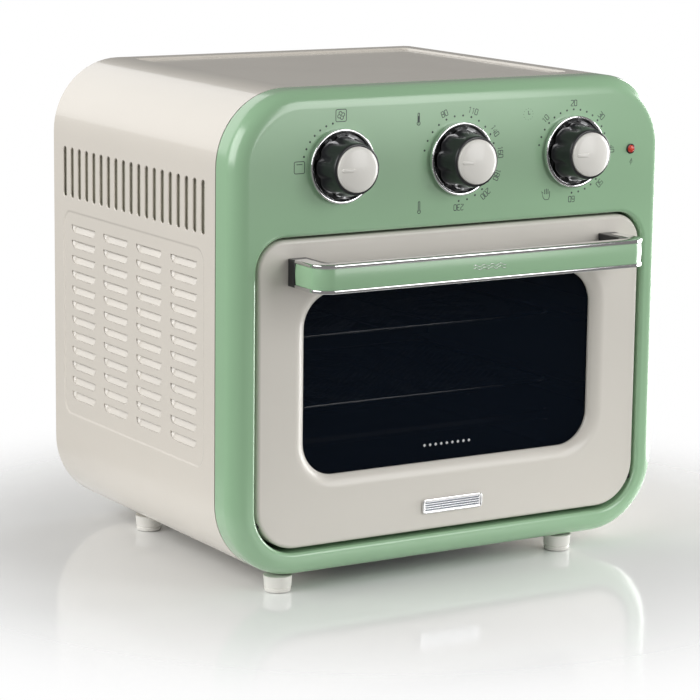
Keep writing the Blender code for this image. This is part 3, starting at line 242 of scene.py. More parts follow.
def revolve(bm, profile, at, steps=ROUND_STEPS, axis="front"):
    """A turned shape from (radius, height) points. Height runs out along the axis."""
    turn = {"front": Matrix.Rotation(pi / 2, 3, "X"), "rear": Matrix.Rotation(-pi / 2, 3, "X")}
    turn = turn.get(axis, Matrix.Identity(3))
    loops = []
    for radius, height in profile:
        if radius < 1e-7:
            loops.append([bm.verts.new(turn @ Vector((0, 0, height)) + at)])
            continue
        ring = []
        for i in range(steps):
            a = 2 * pi * i / steps
            point = Vector((radius * cos(a), radius * sin(a), height))
            ring.append(bm.verts.new(turn @ point + at))
        loops.append(ring)
    for near, far in zip(loops, loops[1:]):
        for i in range(steps):
            j = (i + 1) % steps
            around = ((near, i), (near, j), (far, j), (far, i))
            corners = list(dict.fromkeys(loop[k % len(loop)] for loop, k in around))
            if len(corners) > 2:
                bm.faces.new(corners)


def rounded_profile(points, radius, steps=4):
    """A profile with each inner point replaced by a small arc-like curve."""
    made = [points[0]]
    for before, here, after in zip(points, points[1:], points[2:]):
        here, before, after = Vector(here), Vector(before), Vector(after)
        back = min(radius, (before - here).length / 2)
        on = min(radius, (after - here).length / 2)
        start = here + (before - here).normalized() * back
        end = here + (after - here).normalized() * on
        for i in range(steps + 1):
            t = i / steps
            point = (1 - t) ** 2 * start + 2 * t * (1 - t) * here + t * t * end
            made.append(tuple(point))
    made.append(points[-1])
    return made


def piece(name, bm, look, body, replaced=(), wall=0.0, closed=False, angle=35):
    """A finished piece that rides on a body and stands for the named parts."""
    bmesh.ops.remove_doubles(bm, verts=bm.verts, dist=1e-6)
    if closed:
        bmesh.ops.recalc_face_normals(bm, faces=bm.faces)
    mesh = bpy.data.meshes.new(name)
    bm.to_mesh(mesh)
    bm.free()
    return finished(name, mesh, look, body, replaced, wall, angle)


def finished(name, mesh, look, body, replaced=(), wall=0.0, angle=35):
    """The object of a mesh, with its look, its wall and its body."""
    mesh.shade_smooth()
    mesh.set_sharp_from_angle(angle=radians(angle))
    mesh.materials.clear()
    mesh.materials.append(paint(look))
    obj = bpy.data.objects.new(name, mesh)
    bpy.context.scene.collection.objects.link(obj)
    if wall:
        sharpen_open_edges(mesh)
        solidify = obj.modifiers.new("wall", "SOLIDIFY")
        solidify.thickness = wall
        solidify.offset = -1.0
    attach(obj, body)
    if replaced:
        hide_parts(*replaced)
    return obj


def sharpen_open_edges(mesh):
    """Keeps the rim that a wall adds from bending the shading of the sheet."""
    bm = bmesh.new()
    bm.from_mesh(mesh)
    for edge in bm.edges:
        if edge.is_boundary:
            edge.smooth = False
    bm.to_mesh(mesh)
    bm.free()


def evaluated_mesh(obj):
    """The object's evaluated mesh; the object itself is removed."""
    graph = bpy.context.evaluated_depsgraph_get()
    mesh = bpy.data.meshes.new_from_object(obj.evaluated_get(graph), depsgraph=graph)
    mesh.transform(obj.matrix_world)
    bpy.data.objects.remove(obj, do_unlink=True)
    return mesh


def wires(name, lines, radius, resolution=1):
    """A mesh of round wires along open lines of points."""
    curve = bpy.data.curves.new(name, "CURVE")
    curve.dimensions = "3D"
    curve.bevel_depth = radius
    curve.bevel_resolution = resolution
    curve.use_fill_caps = True
    for points in lines:
        spline = curve.splines.new("POLY")
        spline.points.add(len(points) - 1)
        for point, co in zip(spline.points, points):
            point.co = (*co, 1.0)
    obj = bpy.data.objects.new(name, curve)
    bpy.context.scene.collection.objects.link(obj)
    return evaluated_mesh(obj)


# Geometry Nodes trees for what repeats

GRID = "copies on a grid"
CLOCK_ARC = "copies on an arc"


def new_tree(name, counts, measures):
    """A tree whose inputs are a shape, whole numbers, measures and a material."""
    inputs = [(label, "Int") for label in counts]
    inputs += [(label, "Float") for label in measures]
    inputs.append(("Material", "Material"))
    tree = bpy.data.node_groups.new(name, "GeometryNodeTree")
    tree.interface.new_socket("Geometry", in_out="INPUT", socket_type="NodeSocketGeometry")
    for label, kind in inputs:
        tree.interface.new_socket(label, in_out="INPUT", socket_type="NodeSocket" + kind)
    tree.interface.new_socket("Geometry", in_out="OUTPUT", socket_type="NodeSocketGeometry")
    return tree, tree.nodes.new("NodeGroupInput")


def maths(tree, operation, first, second):
    """A Math node; each input is a socket or a number."""
    node = tree.nodes.new("ShaderNodeMath")
    node.operation = operation
    for socket, value in zip(node.inputs, (first, second)):
        if isinstance(value, (int, float)):
            socket.default_value = value
        else:
            tree.links.new(value, socket)
    return node.outputs[0]


def end_tree(tree, start, points):
    """Puts the incoming shape on every point, realised and with its material."""
    copies = tree.nodes.new("GeometryNodeInstanceOnPoints")
    real = tree.nodes.new("GeometryNodeRealizeInstances")
    paint = tree.nodes.new("GeometryNodeSetMaterial")
    end = tree.nodes.new("NodeGroupOutput")
    tree.links.new(points, copies.inputs["Points"])
    tree.links.new(start.outputs["Geometry"], copies.inputs["Instance"])
    tree.links.new(copies.outputs["Instances"], real.inputs["Geometry"])
    tree.links.new(real.outputs["Geometry"], paint.inputs["Geometry"])
    tree.links.new(start.outputs["Material"], paint.inputs["Material"])
    tree.links.new(paint.outputs["Geometry"], end.inputs["Geometry"])
    return tree


def grid_tree():
    """Copies in columns along X and rows along Y, about the origin."""
    counts, pitches = ("Columns", "Rows"), ("Column pitch", "Row pitch")
    tree, start = new_tree(GRID, counts, pitches)
    grid = tree.nodes.new("GeometryNodeMeshGrid")
    for axis, number, pitch in zip("XY", counts, pitches):
        gaps = maths(tree, "SUBTRACT", start.outputs[number], 1.0)
        run = maths(tree, "MULTIPLY", gaps, start.outputs[pitch])
        tree.links.new(run, grid.inputs["Size " + axis])
        tree.links.new(start.outputs[number], grid.inputs["Vertices " + axis])
    return end_tree(tree, start, grid.outputs["Mesh"])


def ring_tree():
    """Copies along an arc about the origin, by clock angle from the top."""
    tree, start = new_tree(CLOCK_ARC, ("Count",), ("Radius", "First angle", "Angle step"))
    line = tree.nodes.new("GeometryNodeMeshLine")
    tree.links.new(start.outputs["Count"], line.inputs["Count"])
    index = tree.nodes.new("GeometryNodeInputIndex").outputs[0]
    turn = maths(tree, "MULTIPLY", index, start.outputs["Angle step"])
    angle = maths(tree, "ADD", turn, start.outputs["First angle"])
    place = tree.nodes.new("ShaderNodeCombineXYZ")
    for axis, function in (("X", "SINE"), ("Y", "COSINE")):
        share = maths(tree, function, angle, 0.0)
        tree.links.new(maths(tree, "MULTIPLY", share, start.outputs["Radius"]), place.inputs[axis])
    move = tree.nodes.new("GeometryNodeSetPosition")
    tree.links.new(line.outputs["Mesh"], move.inputs["Geometry"])
    tree.links.new(place.outputs["Vector"], move.inputs["Position"])
    return end_tree(tree, start, move.outputs["Geometry"])


def tree_named(name):
    makers = {GRID: grid_tree, CLOCK_ARC: ring_tree}
    return bpy.data.node_groups.get(name) or makers[name]()


def copies(unit, tree_name, look, **values):
    """The unit shape repeated by a tree, as a plain mesh. Keys use _ for a space."""
    mesh = bpy.data.meshes.new("unit")
    unit.to_mesh(mesh)
    unit.free()
    obj = bpy.data.objects.new("copies", mesh)
    bpy.context.scene.collection.objects.link(obj)
    modifier = obj.modifiers.new("copies", "NODES")
    modifier.node_group = tree_named(tree_name)
    for item in modifier.node_group.interface.items_tree:
        label = item.name.replace(" ", "_").lower()
        if item.in_out == "INPUT" and label in values:
            modifier[item.identifier] = values[label]
        if item.in_out == "INPUT" and item.name == "Material":
            modifier[item.identifier] = paint(look)
    return evaluated_mesh(obj)


# Materials

COAT_VARIATION = "coat variation"
SURFACE_GRAIN = "surface grain"
FINE_FACTOR = 5.0
FINE_SHARE = 0.25
CLEAR_COAT_ROUGHNESS = 0.04
SATIN_COAT_ROUGHNESS = 0.18
GLASS_IOR = 1.5
GLASS_ALPHA = 0.62
GLASS_SPECULAR = 0.12
PRISM_SCALE = 900.0
PRISM_DEPTH = 0.0003


def shader_group(name, inputs, outputs):
    group = bpy.data.node_groups.new(name, "ShaderNodeTree")
    for label, kind in inputs:
        group.interface.new_socket(label, in_out="INPUT", socket_type="NodeSocket" + kind)
    for label, kind in outputs:
        group.interface.new_socket(label, in_out="OUTPUT", socket_type="NodeSocket" + kind)
    return group, group.nodes.new("NodeGroupInput"), group.nodes.new("NodeGroupOutput")


def variation_group():
    """Slow clouding of a colour and of its roughness, as a sprayed or moulded coat has."""
    coat = (("Colour", "Color"), ("Roughness", "Float"))
    inputs = (("Vector", "Vector"),) + coat + (("Scale", "Float"), ("Amount", "Float"))
    group, start, end = shader_group(COAT_VARIATION, inputs, coat)
    cloud = group.nodes.new("ShaderNodeTexNoise")
    cloud.inputs["Detail"].default_value = 4.0
    group.links.new(start.outputs["Vector"], cloud.inputs["Vector"])
    group.links.new(start.outputs["Scale"], cloud.inputs["Scale"])
    swing = maths(group, "SUBTRACT", cloud.outputs["Fac"], 0.5)
    swing = maths(group, "MULTIPLY", swing, start.outputs["Amount"])
    tint = group.nodes.new("ShaderNodeHueSaturation")
    group.links.new(start.outputs["Colour"], tint.inputs["Color"])
    group.links.new(maths(group, "ADD", swing, 1.0), tint.inputs["Value"])
    group.links.new(tint.outputs["Color"], end.inputs["Colour"])
    group.links.new(maths(group, "ADD", start.outputs["Roughness"], swing), end.inputs["Roughness"])
    return group


def grain_group():
    """Height of a fine surface texture: a soft ripple and a finer grain on it."""
    inputs = (("Vector", "Vector"), ("Scale", "Float"), ("Fine share", "Float"))
    group, start, end = shader_group(SURFACE_GRAIN, inputs, (("Height", "Float"),))
    ripple = group.nodes.new("ShaderNodeTexNoise")
    fine = group.nodes.new("ShaderNodeTexNoise")
    for node, factor in ((ripple, 1.0), (fine, FINE_FACTOR)):
        node.inputs["Detail"].default_value = 1.0
        group.links.new(start.outputs["Vector"], node.inputs["Vector"])
        scale = maths(group, "MULTIPLY", start.outputs["Scale"], factor)
        group.links.new(scale, node.inputs["Scale"])
    share = maths(group, "MULTIPLY", fine.outputs["Fac"], start.outputs["Fine share"])
    group.links.new(maths(group, "ADD", ripple.outputs["Fac"], share), end.inputs["Height"])
    return group


def group_named(name):
    makers = {COAT_VARIATION: variation_group, SURFACE_GRAIN: grain_group}
    return bpy.data.node_groups.get(name) or makers[name]()


def place_group(tree, name, **values):
    node = tree.nodes.new("ShaderNodeGroup")
    node.node_tree = group_named(name)
    for socket in node.inputs:
        label = socket.name.replace(" ", "_").lower()
        if label in values:
            socket.default_value = values[label]
    return node


# look: colour or its name in OvenColours, roughness, metallic, coat, cloud scale, cloud amount,
# grain scale, grain depth, stretch of the pattern
EVEN = (1, 1, 1)
BRUSHED = (1, 0.05, 1)
RIBBED = (0.2, 1, 1)
LOOKS = {
    "cream_enamel": ("cream", 0.26, 0.0, 0.5, 14.0, 0.05, 620.0, 0.000060, EVEN),
    "door_cream": ("door", 0.34, 0.0, 0.2, 12.0, 0.05, 420.0, 0.000008, EVEN),
    "foot_cream": ("cap", 0.45, 0.0, 0.0, 60.0, 0.06, 1500.0, 0.000008, EVEN),
    "cap_cream": ("cap", 0.32, 0.0, 0.2, 60.0, 0.05, 1400.0, 0.000004, EVEN),
    "pastel_green": ("green", 0.24, 0.0, 0.8, 10.0, 0.04, 60.0, 0.000010, EVEN),
    "chrome": ((0.83, 0.83, 0.84), 0.10, 1.0, 0.0, 40.0, 0.08, 300.0, 0.000004, EVEN),
    "plated_steel": ((0.58, 0.58, 0.58), 0.34, 1.0, 0.0, 30.0, 0.18, 900.0, 0.000008, BRUSHED),
    # near-black liner: partly the cavity's dark coat, partly painted shade of the closed cavity
    # seen through the glass
    "liner_steel": ((0.035, 0.038, 0.045), 0.42, 1.0, 0.0, 25.0, 0.20, 700.0, 0.000010, BRUSHED),
    # painted shade: near-black for hidden parts, so the gap round the door stays dark
    "blackened_steel": ((0.02, 0.02, 0.022), 0.55, 0.5, 0.0, 60.0, 0.20, 900.0, 0.000008, EVEN),
    "black_plastic": ("black", 0.30, 0.0, 0.1, 80.0, 0.10, 2500.0, 0.000006, EVEN),
    "heater_sheath": ((0.10, 0.095, 0.09), 0.50, 0.8, 0.0, 90.0, 0.30, 1500.0, 0.000010, EVEN),
    "white_ceramic": ((0.72, 0.71, 0.67), 0.60, 0.0, 0.0, 50.0, 0.08, 1200.0, 0.000020, EVEN),
    "ink": ("ink", 0.50, 0.0, 0.0, 400.0, 0.15, 3000.0, 0.000004, EVEN),
    "pale_ink": ((0.55, 0.56, 0.56), 0.50, 0.0, 0.0, 400.0, 0.15, 3000.0, 0.000004, EVEN),
    # painted light: a pale plate behind the slots stands in for the lit inside seen through them
    "pale_shield": ((0.66, 0.65, 0.57), 0.60, 0.0, 0.0, 40.0, 0.10, 600.0, 0.000010, EVEN),
    "badge_enamel": ((0.16, 0.18, 0.21), 0.30, 0.6, 0.3, 300.0, 0.20, 1500.0, 0.000004, RIBBED),
}


def new_material(name):
    """An empty look: the material, its tree, its shader and the place on the object."""
    material = bpy.data.materials.new("look_" + name)
    material.use_nodes = True
    tree = material.node_tree
    where = tree.nodes.new("ShaderNodeTexCoord").outputs["Object"]
    return material, tree, tree.nodes["Principled BSDF"], where


def bumped(tree, shader, height, depth):
    bump = tree.nodes.new("ShaderNodeBump")
    bump.inputs["Distance"].default_value = depth
    tree.links.new(height, bump.inputs["Height"])
    tree.links.new(bump.outputs["Normal"], shader.inputs["Normal"])


def paint(name):
    """The material of a look, made once, in the user's colours."""
    made = bpy.data.materials.get("look_" + name)
    if made:
        return made
    colours = bpy.context.scene.oven_colours
    if name == "dark_glass":
        return glass(colours.glass)
    if name == "red_lens":
        return lens(colours.lens)
    base, roughness, metallic, coat, cloud_scale, cloud, grain_scale, depth, stretch = LOOKS[name]
    base = tuple(getattr(colours, base) if isinstance(base, str) else base)
    material, tree, shader, where = new_material(name)
    satin = name == "pastel_green"
    shader.inputs["Metallic"].default_value = metallic
    shader.inputs["Coat Weight"].default_value = coat
    shader.inputs["Coat Roughness"].default_value = (
        SATIN_COAT_ROUGHNESS if satin else CLEAR_COAT_ROUGHNESS
    )
    mapping = tree.nodes.new("ShaderNodeMapping")
    mapping.inputs["Scale"].default_value = stretch
    tree.links.new(where, mapping.inputs["Vector"])
    look = {"colour": (*base, 1.0), "roughness": roughness, "scale": cloud_scale, "amount": cloud}
    clouds = place_group(tree, COAT_VARIATION, **look)
    grain = place_group(tree, SURFACE_GRAIN, scale=grain_scale, fine_share=FINE_SHARE)
    tree.links.new(mapping.outputs["Vector"], clouds.inputs["Vector"])
    tree.links.new(mapping.outputs["Vector"], grain.inputs["Vector"])
    tree.links.new(clouds.outputs["Colour"], shader.inputs["Base Color"])
    tree.links.new(clouds.outputs["Roughness"], shader.inputs["Roughness"])
    bumped(tree, shader, grain.outputs["Height"], depth)
    material.diffuse_color = (*base, 1.0)
    return material


def glass(tint):
    """Dark coated glass that still lets the racks show."""
    material, tree, shader, where = new_material("dark_glass")
    shader.inputs["IOR"].default_value = GLASS_IOR
    shader.inputs["Alpha"].default_value = GLASS_ALPHA
    shader.inputs["Specular IOR Level"].default_value = GLASS_SPECULAR
    look = {"colour": (*tint, 1.0), "roughness": 0.03, "scale": 18.0, "amount": 0.03}
    smear = place_group(tree, COAT_VARIATION, **look)
    tree.links.new(where, smear.inputs["Vector"])
    tree.links.new(smear.outputs["Colour"], shader.inputs["Base Color"])
    tree.links.new(smear.outputs["Roughness"], shader.inputs["Roughness"])
    material.diffuse_color = (*tint, 0.5)
    return material


def lens(tint):
    """Clear red plastic with a pattern of small prisms. Each prism cell is painted a darker or a
    brighter red, painted shade and highlight of the facets, and the lens glows faintly in the same
    colours.
    """
    material, tree, shader, where = new_material("red_lens")
    shader.inputs["Roughness"].default_value = 0.12
    shader.inputs["Emission Strength"].default_value = 0.25
    cells = tree.nodes.new("ShaderNodeTexVoronoi")
    cells.inputs["Scale"].default_value = PRISM_SCALE
    tree.links.new(where, cells.inputs["Vector"])
    # painted highlight and shade: each prism cell gets a darker or a brighter red
    facet_light_and_shade = tree.nodes.new("ShaderNodeMix")
    facet_light_and_shade.data_type = "RGBA"
    facet_light_and_shade.inputs["A"].default_value = (tint[0] * 0.35, tint[1] * 0.3, tint[2] * 0.3, 1.0)
    facet_light_and_shade.inputs["B"].default_value = (tint[0], tint[1] * 3, tint[2] * 3, 1.0)
    tree.links.new(cells.outputs["Color"], facet_light_and_shade.inputs["Factor"])
    tree.links.new(facet_light_and_shade.outputs["Result"], shader.inputs["Base Color"])
    tree.links.new(facet_light_and_shade.outputs["Result"], shader.inputs["Emission Color"])
    bumped(tree, shader, cells.outputs["Distance"], PRISM_DEPTH)
    material.diffuse_color = (*tint, 1.0)
    return material


def repaint(slot, nodes, look=None):
    """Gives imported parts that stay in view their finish."""
    for name in nodes:
        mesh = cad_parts[name].data
        mesh.materials.clear()
        mesh.materials.append(paint(look or slot))


# Cabinet

BEND_LAND = 0.005
LOUVRE_SLOPE = 0.50
LOUVRE_PRESS = 0.0005
LOUVRE_PITCH = (0.0464675, 0.01017)
LOUVRES_BEHIND_SEAM = 0.1109
LOUVRES_ABOVE_BASE = 0.13503
SLOTS_BELOW_TOP = 0.072
SLOT_ROLL = 0.0006
SLOT_LIP = 0.0002
# A pale plate behind each row of slots, painted light for the lit inside seen through them
LIT_BACKING_BEHIND = 0.0024
LIT_BACKING_HALF_HEIGHT = 0.019
LIT_BACKING_CORNER = 0.003
LOOK_SHEET = 0.0007
FIELD_SLOPE = 0.0018
FIELD_STEPS = 6
SIDE_FIELD_LOW = (0.0138, 0.0651)
SIDE_FIELD_HIGH = (0.2095, 0.2031)
SIDE_FIELD_CORNER = 0.010
TOP_FIELD_SIDE = 0.0005
TOP_FIELD_FRONT = 0.0125
TOP_FIELD_REAR = 0.0118
TOP_FIELD_CORNER = 0.006
TOP_FIELD_DEPTH = 0.0014


def body_outline(inset):
    half_height = BODY_MIDDLE - BODY_LOW.z - inset
    corner = oven_sizes().corner - inset
    return rounded_about((0, BODY_MIDDLE), BODY_HALF - inset, half_height, corner)


def pressed_field(bm, place, low, high, radius, depth, holes=()):
    """A shallow pressed field with its soft edge. Returns the loop where the flat round it ends."""
    insets = [FIELD_SLOPE * step / FIELD_STEPS for step in range(FIELD_STEPS + 1)]
    loops = []
    for inset in [-FLAT_MARGIN] + insets + [FIELD_SLOPE + FLAT_MARGIN]:
        share = min(max(inset / FIELD_SLOPE, 0), 1)
        drop = depth * (3 * share**2 - 2 * share**3)
        outline = rounded_box(
            (low[0] + inset, low[1] + inset), (high[0] - inset, high[1] - inset), radius - inset
        )
        loops.append([place(u, v, -drop) for u, v in outline])
    loft(bm, loops)
    fill(bm, [loops[-1], *holes])
    return loops[0]


def slot_outline(outset):
    sizes = oven_sizes()
    half = sizes.slot_width / 2 + outset
    return rounded_about((0, 0), half, sizes.slot_height / 2 + outset, half - 1e-5, steps=7)


def slot_unit():
    """The rolled edge of one upright slot, with its land, in the plane of the sheet."""
    bm = bmesh.new()
    roll = SLOT_ROLL
    rings = [[(u, v, 0) for u, v in slot_outline(roll + FLAT_MARGIN)]]
    for step in range(7):
        a = radians(15 * step)
        outset = roll * (1 - sin(a))
        rings.append([(u, v, -roll * (1 - cos(a))) for u, v in slot_outline(outset)])
    rings.append([(u, v, -roll - SLOT_LIP) for u, v in slot_outline(0)])
    loft(bm, rings)
    return bm


def louvre_low(u):
    """How far below its straight top a louvre reaches, at a distance from its middle."""
    sizes = oven_sizes()
    radius = sizes.louvre_height * 0.98
    over = abs(u) - (sizes.louvre_length / 2 - radius)
    if over <= 0:
        return sizes.louvre_height
    return sizes.louvre_height - radius + sqrt(max(radius**2 - over**2, 0))


def louvre_steps():
    half = oven_sizes().louvre_length / 2
    shares = (1, 0.985, 0.955, 0.915, 0.865, 0.80, 0.72, 0.62, 0.40, 0.15)
    return [-half * s for s in shares] + [half * s for s in reversed(shares)]


def louvre_outline():
    """The cut in the sheet round one louvre, anticlockwise from its upper right."""
    top = oven_sizes().louvre_height / 2
    upper = [(louvre_steps()[-1], top), (louvre_steps()[0], top)]
    return upper + [(u, top - louvre_low(u)) for u in louvre_steps()[1:-1]]


def louvre_unit():
    """One louvre: a boat-shaped flap pressed in from its lower edge to an open top."""
    bm = bmesh.new()
    top = oven_sizes().louvre_height / 2
    columns = []
    steps = louvre_steps()
    for u in steps:
        reach = louvre_low(u)
        column = [(u, top - reach, 0)]
        for share in (0.06, 0.3, 0.5, 0.75, 1.0):
            dip = 0 if u in (steps[0], steps[-1]) else LOUVRE_PRESS + LOUVRE_SLOPE * reach * share
            column.append((u, top - reach + reach * share, -dip))
        columns.append(column)
    loft(bm, columns[::-1], closed=False)
    bmesh.ops.remove_doubles(bm, verts=bm.verts, dist=1e-6)
    return bm


def grid_places(columns, rows, column_pitch, row_pitch):
    for i in range(columns):
        for j in range(rows):
            yield (i - (columns - 1) / 2) * column_pitch, (j - (rows - 1) / 2) * row_pitch


def slot_row():
    """Middle of the row of slots along the side: depth and height."""
    return (WRAP_LOW.y + LOUVRES_BEHIND_SEAM, BODY_HIGH.z - SLOTS_BELOW_TOP)


def rectangle(low, high):
    return [(low[0], low[1]), (high[0], low[1]), (high[0], high[1]), (low[0], high[1])]


def side_sheet(bm):
    """The flat of the right side, with its slots, pressed field and louvres."""
    sizes = oven_sizes()

    def place(u, v, w):
        return (BODY_HALF + w, u, v)

    low = (WRAP_LOW.y, BODY_LOW.z + sizes.corner + BEND_LAND)
    high = (WRAP_HIGH.y, BODY_HIGH.z - sizes.corner - BEND_LAND)
    rim = rectangle(low, high)
    at = slot_row()
    holes = []
    for du, dv in grid_places(sizes.slot_count, 1, sizes.slot_pitch, 0):
        outline = slot_outline(SLOT_ROLL + FLAT_MARGIN)
        holes.append([place(at[0] + du + u, at[1] + dv + v, 0) for u, v in outline])
    middle = (WRAP_LOW.y + LOUVRES_BEHIND_SEAM, BODY_LOW.z + LOUVRES_ABOVE_BASE)
    columns, rows, sunk = sizes.louvre_columns, sizes.louvre_rows, -sizes.panel_depth
    vents = []
    for du, dv in grid_places(columns, rows, *LOUVRE_PITCH):
        outline = louvre_outline()
        vents.append([place(middle[0] + du + u, middle[1] + dv + v, sunk) for u, v in outline])
    field_low = (WRAP_LOW.y + SIDE_FIELD_LOW[0], BODY_LOW.z + SIDE_FIELD_LOW[1])
    field_high = (WRAP_LOW.y + SIDE_FIELD_HIGH[0], BODY_LOW.z + SIDE_FIELD_HIGH[1])
    edge = pressed_field(
        bm, place, field_low, field_high, SIDE_FIELD_CORNER, sizes.panel_depth, vents
    )
    fill(bm, [[place(u, v, 0) for u, v in rim], edge] + holes)
    units = (
        (slot_unit(), sizes.slot_count, 1, (sizes.slot_pitch, 0.0), at, 0.0),
        (louvre_unit(), columns, rows, LOUVRE_PITCH, middle, sunk),
    )
    for unit, columns, rows, (across, up), (y, z), depth in units:
        grid = {"columns": columns, "rows": rows, "column_pitch": across, "row_pitch": up}
        mesh = copies(unit, GRID, "cream_enamel", **grid)
        onto = ((0, 0, 1, BODY_HALF + depth), (1, 0, 0, y), (0, 1, 0, z), (0, 0, 0, 1))
        mesh.transform(Matrix(onto))
        bm.from_mesh(mesh)
        bpy.data.meshes.remove(mesh)


def top_sheet(bm):
    """The flat of the top, with its shallow pressed field."""
    sizes = oven_sizes()

    def place(u, v, w):
        return (u, v, BODY_HIGH.z + w)

    half = BODY_HALF - sizes.corner - BEND_LAND
    low, high = (-half, WRAP_LOW.y), (half, WRAP_HIGH.y)
    rim = rectangle(low, high)
    field_low = (low[0] + TOP_FIELD_SIDE, WRAP_LOW.y + TOP_FIELD_FRONT)
    field_high = (high[0] - TOP_FIELD_SIDE, WRAP_HIGH.y - TOP_FIELD_REAR)
    edge = pressed_field(bm, place, field_low, field_high, TOP_FIELD_CORNER, TOP_FIELD_DEPTH)
    fill(bm, [[place(u, v, 0) for u, v in rim], edge])


def bend_strips(bm, underside):
    """The four rounded corners of the cabinet, each with a short flat on both sides."""
    full = body_outline(0)
    steps = ARC_STEPS + 1
    corners = [full[i * steps : (i + 1) * steps] for i in range(4)]
    lands = (
        ((0, -BEND_LAND), (-BEND_LAND, 0)),
        ((BEND_LAND, 0), (0, -BEND_LAND)),
        ((0, BEND_LAND), (underside, 0)),
        ((-underside, 0), (0, BEND_LAND)),
    )
    for corner, (before, after) in zip(corners, lands):
        start = (corner[0][0] + before[0], corner[0][1] + before[1])
        end = (corner[-1][0] + after[0], corner[-1][1] + after[1])
        outline = [start] + corner + [end]
        loft(bm, [upright(outline, WRAP_HIGH.y), upright(outline, WRAP_LOW.y)], closed=False)


class OVEN_OT_cabinet(bpy.types.Operator):
    """Bent cabinet sheet with its slots, louvres and pressed fields."""

    bl_idname = "oven.cabinet"
    bl_label = "Cabinet"

    def execute(self, context):
        right = bmesh.new()
        side_sheet(right)
        mesh = bpy.data.meshes.new("side")
        right.to_mesh(mesh)
        right.free()
        bm = bmesh.new()
        bm.from_mesh(mesh)
        bmesh.ops.scale(bm, vec=(-1, 1, 1), verts=bm.verts)
        bmesh.ops.reverse_faces(bm, faces=bm.faces)
        bm.from_mesh(mesh)
        bpy.data.meshes.remove(mesh)
        top_sheet(bm)
        bend_strips(bm, BODY_HALF - oven_sizes().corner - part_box("base_plate")[1].x - GAP)
        cream = "cream_enamel"
        piece("cabinet_shell", bm, cream, BODY, ["cabinet_wrap"], LOOK_SHEET, angle=20)
        # Pale plates behind the slots: painted light for the lit inside seen through them
        self.shield("slot_shield_left", -1)
        self.shield("slot_shield_right", 1)
        return {"FINISHED"}

    def shield(self, name, side):
        """A pale plate close behind a row of slots: painted light, standing in for the lit inside
        seen through them.
        """
        bm = bmesh.new()
        half_run = oven_sizes().slot_pitch * oven_sizes().slot_count / 2
        x = side * (BODY_HALF - LIT_BACKING_BEHIND)
        outline = rounded_about(slot_row(), half_run, LIT_BACKING_HALF_HEIGHT, LIT_BACKING_CORNER, steps=4)
        rings = [[(x + dx, u, v) for u, v in outline] for dx in (0, -side * LOOK_SHEET)]
        loft(bm, rings, cap_first=True, cap_last=True)
        piece(name, bm, "pale_shield", BODY, closed=True)


# Fascia

SHAFT_ROOM = 0.0008
LAMP_SEAT = 0.0005


class OVEN_OT_fascia(bpy.types.Operator):
    """Green front moulding with its rounded edge, door opening and holes."""

    bl_idname = "oven.fascia"
    bl_label = "Fascia"

    def execute(self, context):
        sizes = oven_sizes()
        bm = bmesh.new()
        rings = [upright(body_outline(0), WRAP_LOW.y - 0.001)]
        for step in range(9):
            a = radians(90 * step / 8)
            inset = sizes.bullnose * (1 - cos(a))
            rings.append(upright(body_outline(inset), FASCIA_FRONT + sizes.bullnose * (1 - sin(a))))
        rings.append(upright(body_outline(sizes.bullnose + FLAT_MARGIN), FASCIA_FRONT))
        loft(bm, rings)
        inner = [upright(opening_outline(sizes.opening_fillet + FLAT_MARGIN), FASCIA_FRONT)]
        for step in range(7):
            a = radians(15 * step)
            outset = sizes.opening_fillet * (1 - sin(a))
            depth = FASCIA_FRONT + sizes.opening_fillet * (1 - cos(a))
            inner.append(upright(opening_outline(outset), depth))
        inner.append(upright(opening_outline(0), BODY_HIGH.y))
        loft(bm, inner)
        holes = []
        for dial in DIALS:
            centre = centre_of(dial + "_shaft")
            radius = size_of(dial + "_shaft").x / 2 + SHAFT_ROOM
            holes.append(ring_about(centre, radius, FASCIA_FRONT, 24))
        radius = size_of("pilot_lens").x / 2 - LAMP_SEAT
        holes.append(ring_about(centre_of("pilot_lens"), radius, FASCIA_FRONT, 24))
        fill(bm, [rings[-1], inner[0]] + holes)
        green = "pastel_green"
        piece("fascia_shell", bm, green, BODY, ["front_fascia"], FASCIA_WALL, angle=25)
        return {"FINISHED"}


def opening_outline(outset):
    sizes = oven_sizes()
    low = (DOOR_LOW.x - sizes.door_gap - outset, DOOR_LOW.z - sizes.door_low_gap - outset)
    high = (DOOR_HIGH.x + sizes.door_gap + outset, DOOR_HIGH.z + sizes.door_gap + outset)
    top = sizes.door_top_corner + sizes.door_gap + outset
    return rounded_box(low, high, top, sizes.door_low_corner + sizes.door_gap + outset)


# Door

ROLL_END = 60
DIAMOND_REACH = 0.0011
DIAMOND_RISE = 0.00008
DIAMOND_PITCH = 0.0042
DIAMONDS = 9
DIAMONDS_ABOVE_GLASS_EDGE = 0.0185
PRINT_SINK = 0.00002


def door_outline(inset):
    sizes = oven_sizes()
    low = (DOOR_LOW.x + inset, DOOR_LOW.z + inset)
    high = (DOOR_HIGH.x - inset, DOOR_HIGH.z - inset)
    return rounded_box(low, high, sizes.door_top_corner - inset, sizes.door_low_corner - inset)


def window_outline(outset):
    sizes = oven_sizes()
    middle = ((GLASS_LOW.x + GLASS_HIGH.x) / 2, (GLASS_LOW.z + GLASS_HIGH.z) / 2)
    half_width = (GLASS_HIGH.x - GLASS_LOW.x) / 2 - sizes.window_overlap + outset
    half_height = (GLASS_HIGH.z - GLASS_LOW.z) / 2 - sizes.window_overlap + outset
    return rounded_about(middle, half_width, half_height, sizes.window_corner + outset)


